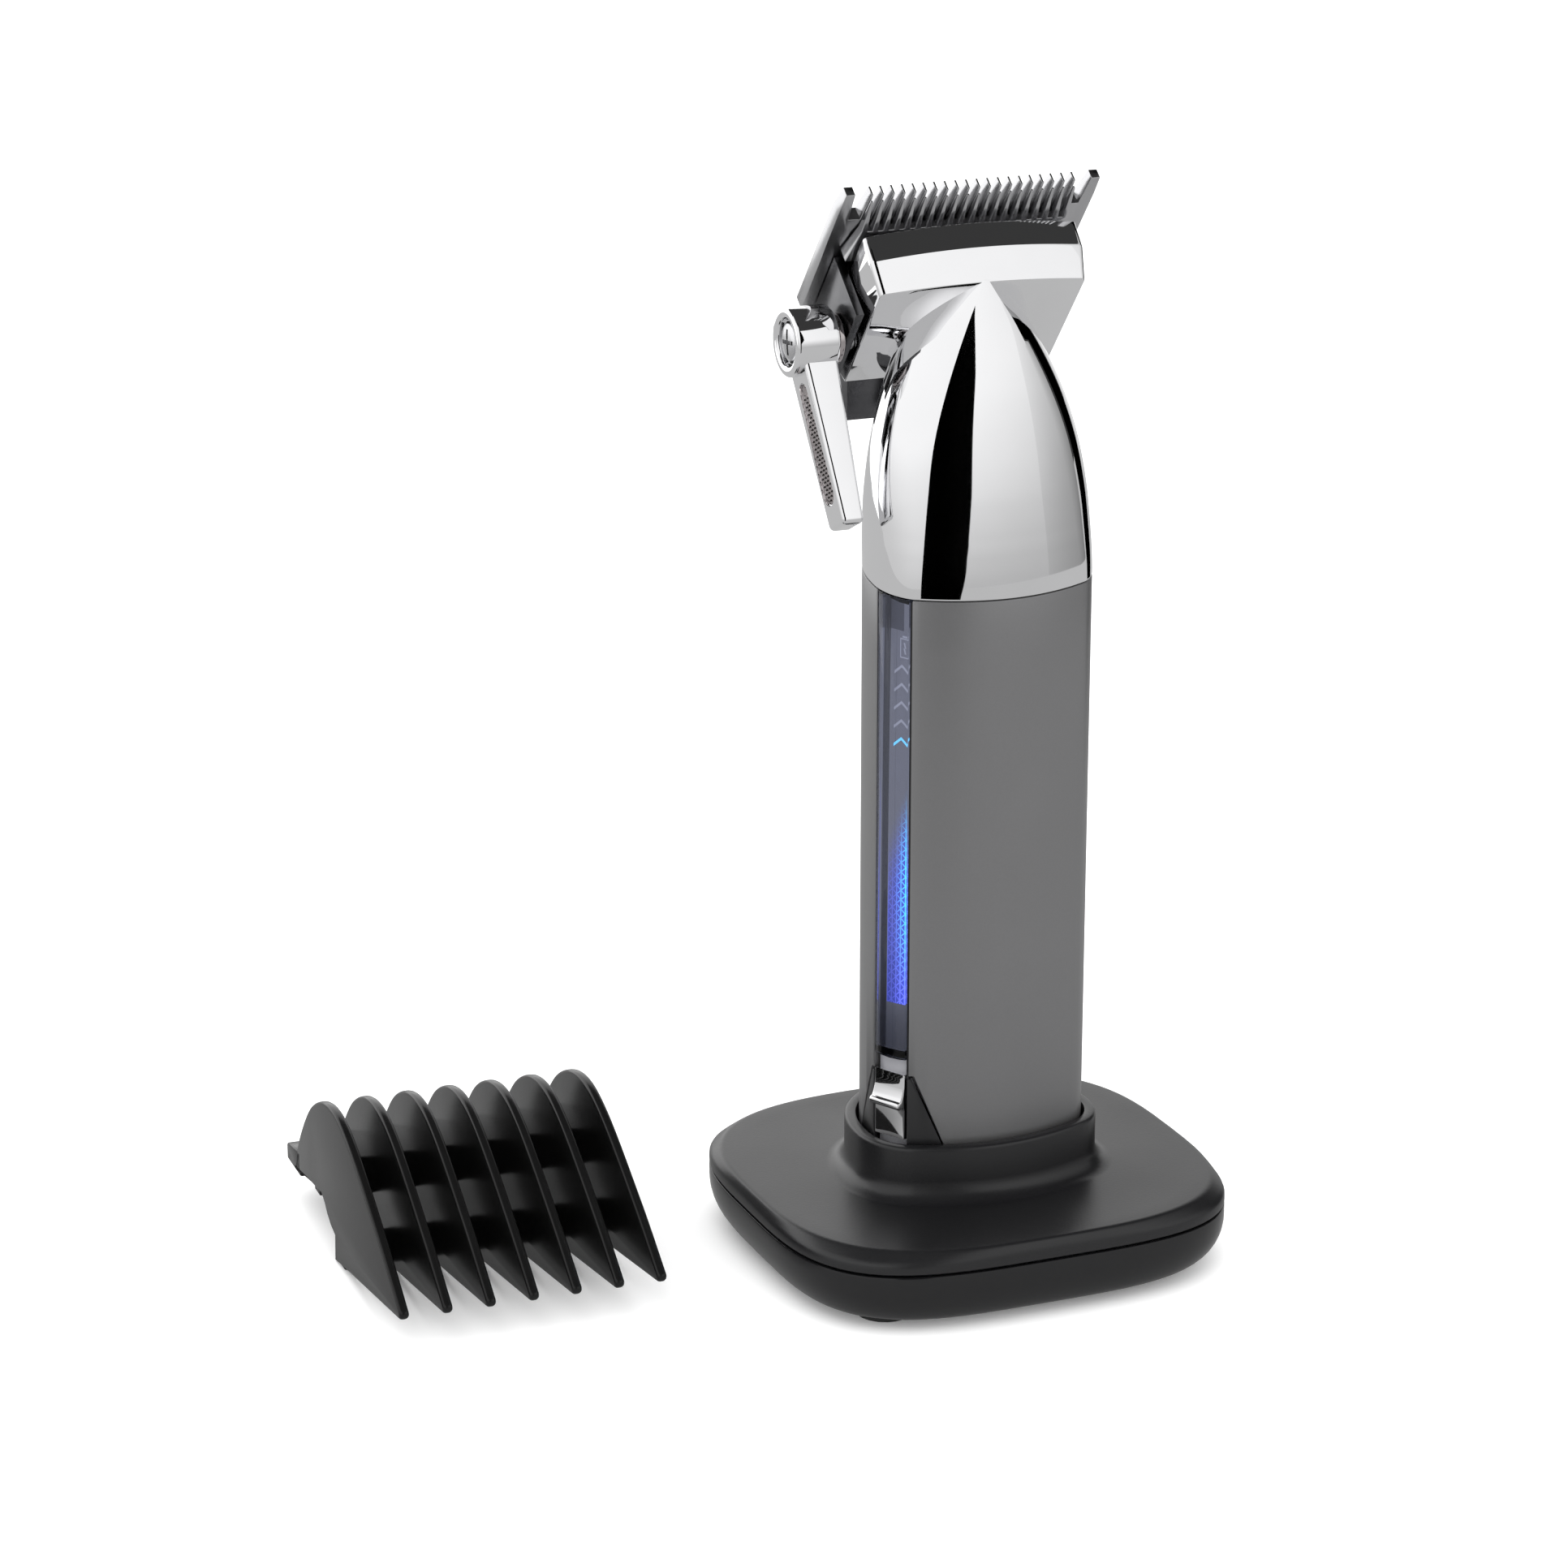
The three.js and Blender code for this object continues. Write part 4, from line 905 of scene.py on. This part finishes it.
leverBody = nodes["taper_lever"]["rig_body"]
piece(taperLever(), "taperLeverPiece", leverBody, finishes["chrome"], ["taper_lever"], onLever)
piece(gripPad(), "leverGripPad", leverBody, finishes["darkChrome"], ["lever_grip_panel"],
      onLever, 20)
piece(leverAxle(), "leverAxlePiece", leverBody, finishes["steel"], ["lever_axle"], onLever)

# the comb lies to the left of the stand, its ribs drawn in y and z
comb = {"x": -103.9, "y": -11.2, "z": 7, "turn": -2.2, "count": 7, "pitch": 7.3, "half": 0.85, "edge": 0.62}


def combGuard():
    crown = curved([(0.25, 1.05), (13, 9), (31, 18.4), (43, 20.6), (55, 16.4), (64.5, 7.2), (68.6, -0.4)], 14)
    under = [(64, 0.1), (57, 1.2), (50, 2), (48, 0.9), (46.4, -0.5), (44, -1.7), (41.6, -2.2), (41.8, -7),
             (36.5, -6.1), (19, -3.4), (1.2, -0.62), (0.6, -0.5), (0.15, -0.15), (-0.02, 0.3), (0.02, 0.75)]
    outline = [*crown, *under][::-1]
    width = (comb["count"] - 1) * comb["pitch"]
    middles = [i * comb["pitch"] for i in range(comb["count"])]
    ribs = [rounded(outline, x - comb["half"], x + comb["half"], comb["edge"]) for x in middles]
    bars = [softened(sideSlab(shape[::-1], x0, x1), 0.4, 3) for shape, x0, x1 in (
        ([(44, 3.4), (66, 3), (66, 6.6), (52, 7)], -0.4, width + 0.4),
        ([(64.6, -0.6), (74, -0.6), (74, 2.4), (64.6, 4)], -0.85, width + 0.85),
        ([(37, -7), (41.8, -7), (41.6, -2.2), (40, -1.6)], -0.4, width + 0.4),
    )]
    hook = [(62.2, -2), (62.6, -3.8), (66.2, -3.8), (66.4, 1.4), (60, 1.4)]
    hooks = [softened(sideSlab(hook, x, x + 3), 0.3, 3) for x in (2, width - 5)]
    return joined(*bars, *hooks, *ribs)


onComb = (onTable @ Matrix.Translation((comb["x"], comb["y"], comb["z"]))
          @ Matrix.Rotation(math.radians(comb["turn"]), 4, "Z"))
piece(combGuard(), "combGuardPiece", nodes["comb_guard"]["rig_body"], finishes["combBlack"],
      ["comb_guard"], onComb)
print("blades, lever and comb made")

# pieces that keep their CAD shape and only get a finish
kept = {
    "steel": ["base_screw_1", "base_screw_2", "base_screw_3", "base_screw_4", "motor_shaft"],
    "darkSteel": ["ballast_plate", "motor"],
    "gold": ["charging_contact_1", "charging_contact_2", "charging_pad_1", "charging_pad_2"],
    "board": ["stand_board", "circuit_board"],
    "batteryWrap": ["battery_cell"],
    "blackSatin": ["motor_mount", "joint_ring", "drive_fork"],
}
for finishName, names in kept.items():
    for name in names:
        nodes[name].data.materials.clear()
        nodes[name].data.materials.append(finishes[finishName])

# the table, the even light round it and a wide, weak sun
studio = {
    "floorSize": 6, "floorTone": 0.95, "floorGlow": 0.14, "floorSeen": 0.24, "worldLight": 1.35,
    "gapLight": 0.03, "sunPower": 0.9, "sunWidth": 50, "sunFrom": (-0.25, -0.25, 1.0),
}
# upright sheets: from turn to turn in degrees from the front, distance, height, light at both ends and
# at the foot, and lean: chrome shows the gaps between them as black
sheets = {
    "left sheet": (-122, -24, 0.9, 1.5, 1.05, 1.0, 0.6, 0),
    "right sheet": (-12, 50, 0.9, 1.05, 1.05, 0.95, 0.5, 0),
    "right grey sheet": (50, 90, 0.9, 1.05, 0.85, 0.4, 0.5, 0),
    "rear sheet": (122, 179, 0.9, 0.8, 0.6, 1.6, 1.0, 0),
    "rear left sheet": (-180, -122, 0.9, 0.8, 1.6, 2.0, 1.0, 0),
    "camera gap": (-26, 4, 0.34, 1.3, 0.0, 0.0, 1.0, 12),
    "right gap": (94, 118, 0.34, 1.3, 0.0, 0.0, 1.0, 0),
}
shot = {"place": (-0.3003, -0.6513, 0.3082), "downward": 17.56, "turn": -22.29, "lens": 103.6, "sensor": 36}


def onStage(bm, name, material):
    mesh = bpy.data.meshes.new(name)
    bm.to_mesh(mesh)
    bm.free()
    mesh.materials.append(material)
    thing = bpy.data.objects.new(name, mesh)
    bpy.context.scene.collection.objects.link(thing)
    return thing


def floor():
    # pale to the eye and mid grey in reflections
    bm = bmesh.new()
    bmesh.ops.create_grid(bm, x_segments=1, y_segments=1, size=studio["floorSize"])
    bmesh.ops.translate(bm, vec=(0, 0, tableZ), verts=bm.verts)
    material, shade, place = newMaterial("pale floor")
    tone, seen = studio["floorTone"], studio["floorSeen"]
    reflected = shade.node("ShaderNodeLightPath", output="Is Glossy Ray")
    slow = noise(shade, place, 40, 2.0)
    setSurface(material, {"Base Color": reflected.mix((tone, tone, tone, 1), (seen, seen, seen, 1)),
                          "Roughness": 0.7 + slow * 0.1, "Specular IOR Level": 0.0,
                          "Emission Color": (1, 1, 1, 1), "Emission Strength": studio["floorGlow"]})
    onStage(bm, "floor", material)


def lightSheet(name, start, end, distance, high, startLight, endLight, footLight, lean):
    # an upright sheet round the object, seen only in reflections, its light running from side to side and up
    bm = bmesh.new()
    steps = 24
    rows = []
    for z, last in ((0, end - lean), (0.25, end), (high, end)):
        turns = [math.radians(start + (last - start) * i / steps) for i in range(steps + 1)]
        rows.append([bm.verts.new((math.sin(turn) * distance, -math.cos(turn) * distance, tableZ + z))
                     for turn in turns])
    for under, over in zip(rows, rows[1:]):
        for i in range(steps):
            bm.faces.new((under[i], under[i + 1], over[i + 1], over[i]))
    material, shade, place = newMaterial(name)
    parts = [shade.node("ShaderNodeSeparateXYZ", inputs={0: place}, output=axis) for axis in "XYZ"]
    turn = shade.math("ARCTAN2", parts[0], parts[1] * -1.0) * (180 / math.pi)
    light = (turn - start) / (end - start) * (endLight - startLight) + startLight
    light = light * ((parts[2] - tableZ).fade(0.0, 0.4) * (1 - footLight) + footLight)
    glow = shade.node("ShaderNodeCombineColor", {}, {0: light, 1: light, 2: light})
    setSurface(material, {"Base Color": (0, 0, 0, 1), "Roughness": 1.0, "Specular IOR Level": 0.0,
                          "Emission Color": glow, "Emission Strength": 1.0})
    sheet = onStage(bm, name, material)
    sheet.visible_camera = False
    sheet.visible_diffuse = False
    sheet.visible_shadow = False
    sheet.visible_transmission = False


def studioLight():
    world = bpy.data.worlds.new("studio")
    world.use_nodes = True
    shade = Shade(world.node_tree)
    reflected = shade.node("ShaderNodeLightPath", output="Is Glossy Ray")
    strength = (1 - reflected * (1 - studio["gapLight"])) * studio["worldLight"]
    world.node_tree.links.new(strength.socket, world.node_tree.nodes["Background"].inputs["Strength"])
    world.node_tree.nodes["Background"].inputs["Color"].default_value = (1, 1, 1, 1)
    bpy.context.scene.world = world
    lamp = bpy.data.lights.new("key", "SUN")
    lamp.energy = studio["sunPower"]
    lamp.angle = math.radians(studio["sunWidth"])
    key = bpy.data.objects.new("key", lamp)
    key.rotation_euler = Vector(studio["sunFrom"]).to_track_quat("Z", "Y").to_euler()
    key.visible_glossy = False
    bpy.context.scene.collection.objects.link(key)


def camera():
    view = bpy.data.cameras.new("camera")
    view.lens = shot["lens"]
    view.sensor_width = shot["sensor"]
    viewer = bpy.data.objects.new("camera", view)
    viewer.location = Vector(shot["place"]) + Vector((0, 0, tableZ))
    viewer.rotation_euler = (math.radians(90 - shot["downward"]), 0, math.radians(shot["turn"]))
    bpy.context.scene.collection.objects.link(viewer)
    bpy.context.scene.camera = viewer


floor()
for name, sizes in sheets.items():
    lightSheet(name, *sizes)
studioLight()
camera()
bpy.context.scene.view_settings.view_transform = "Standard"
print("studio made")
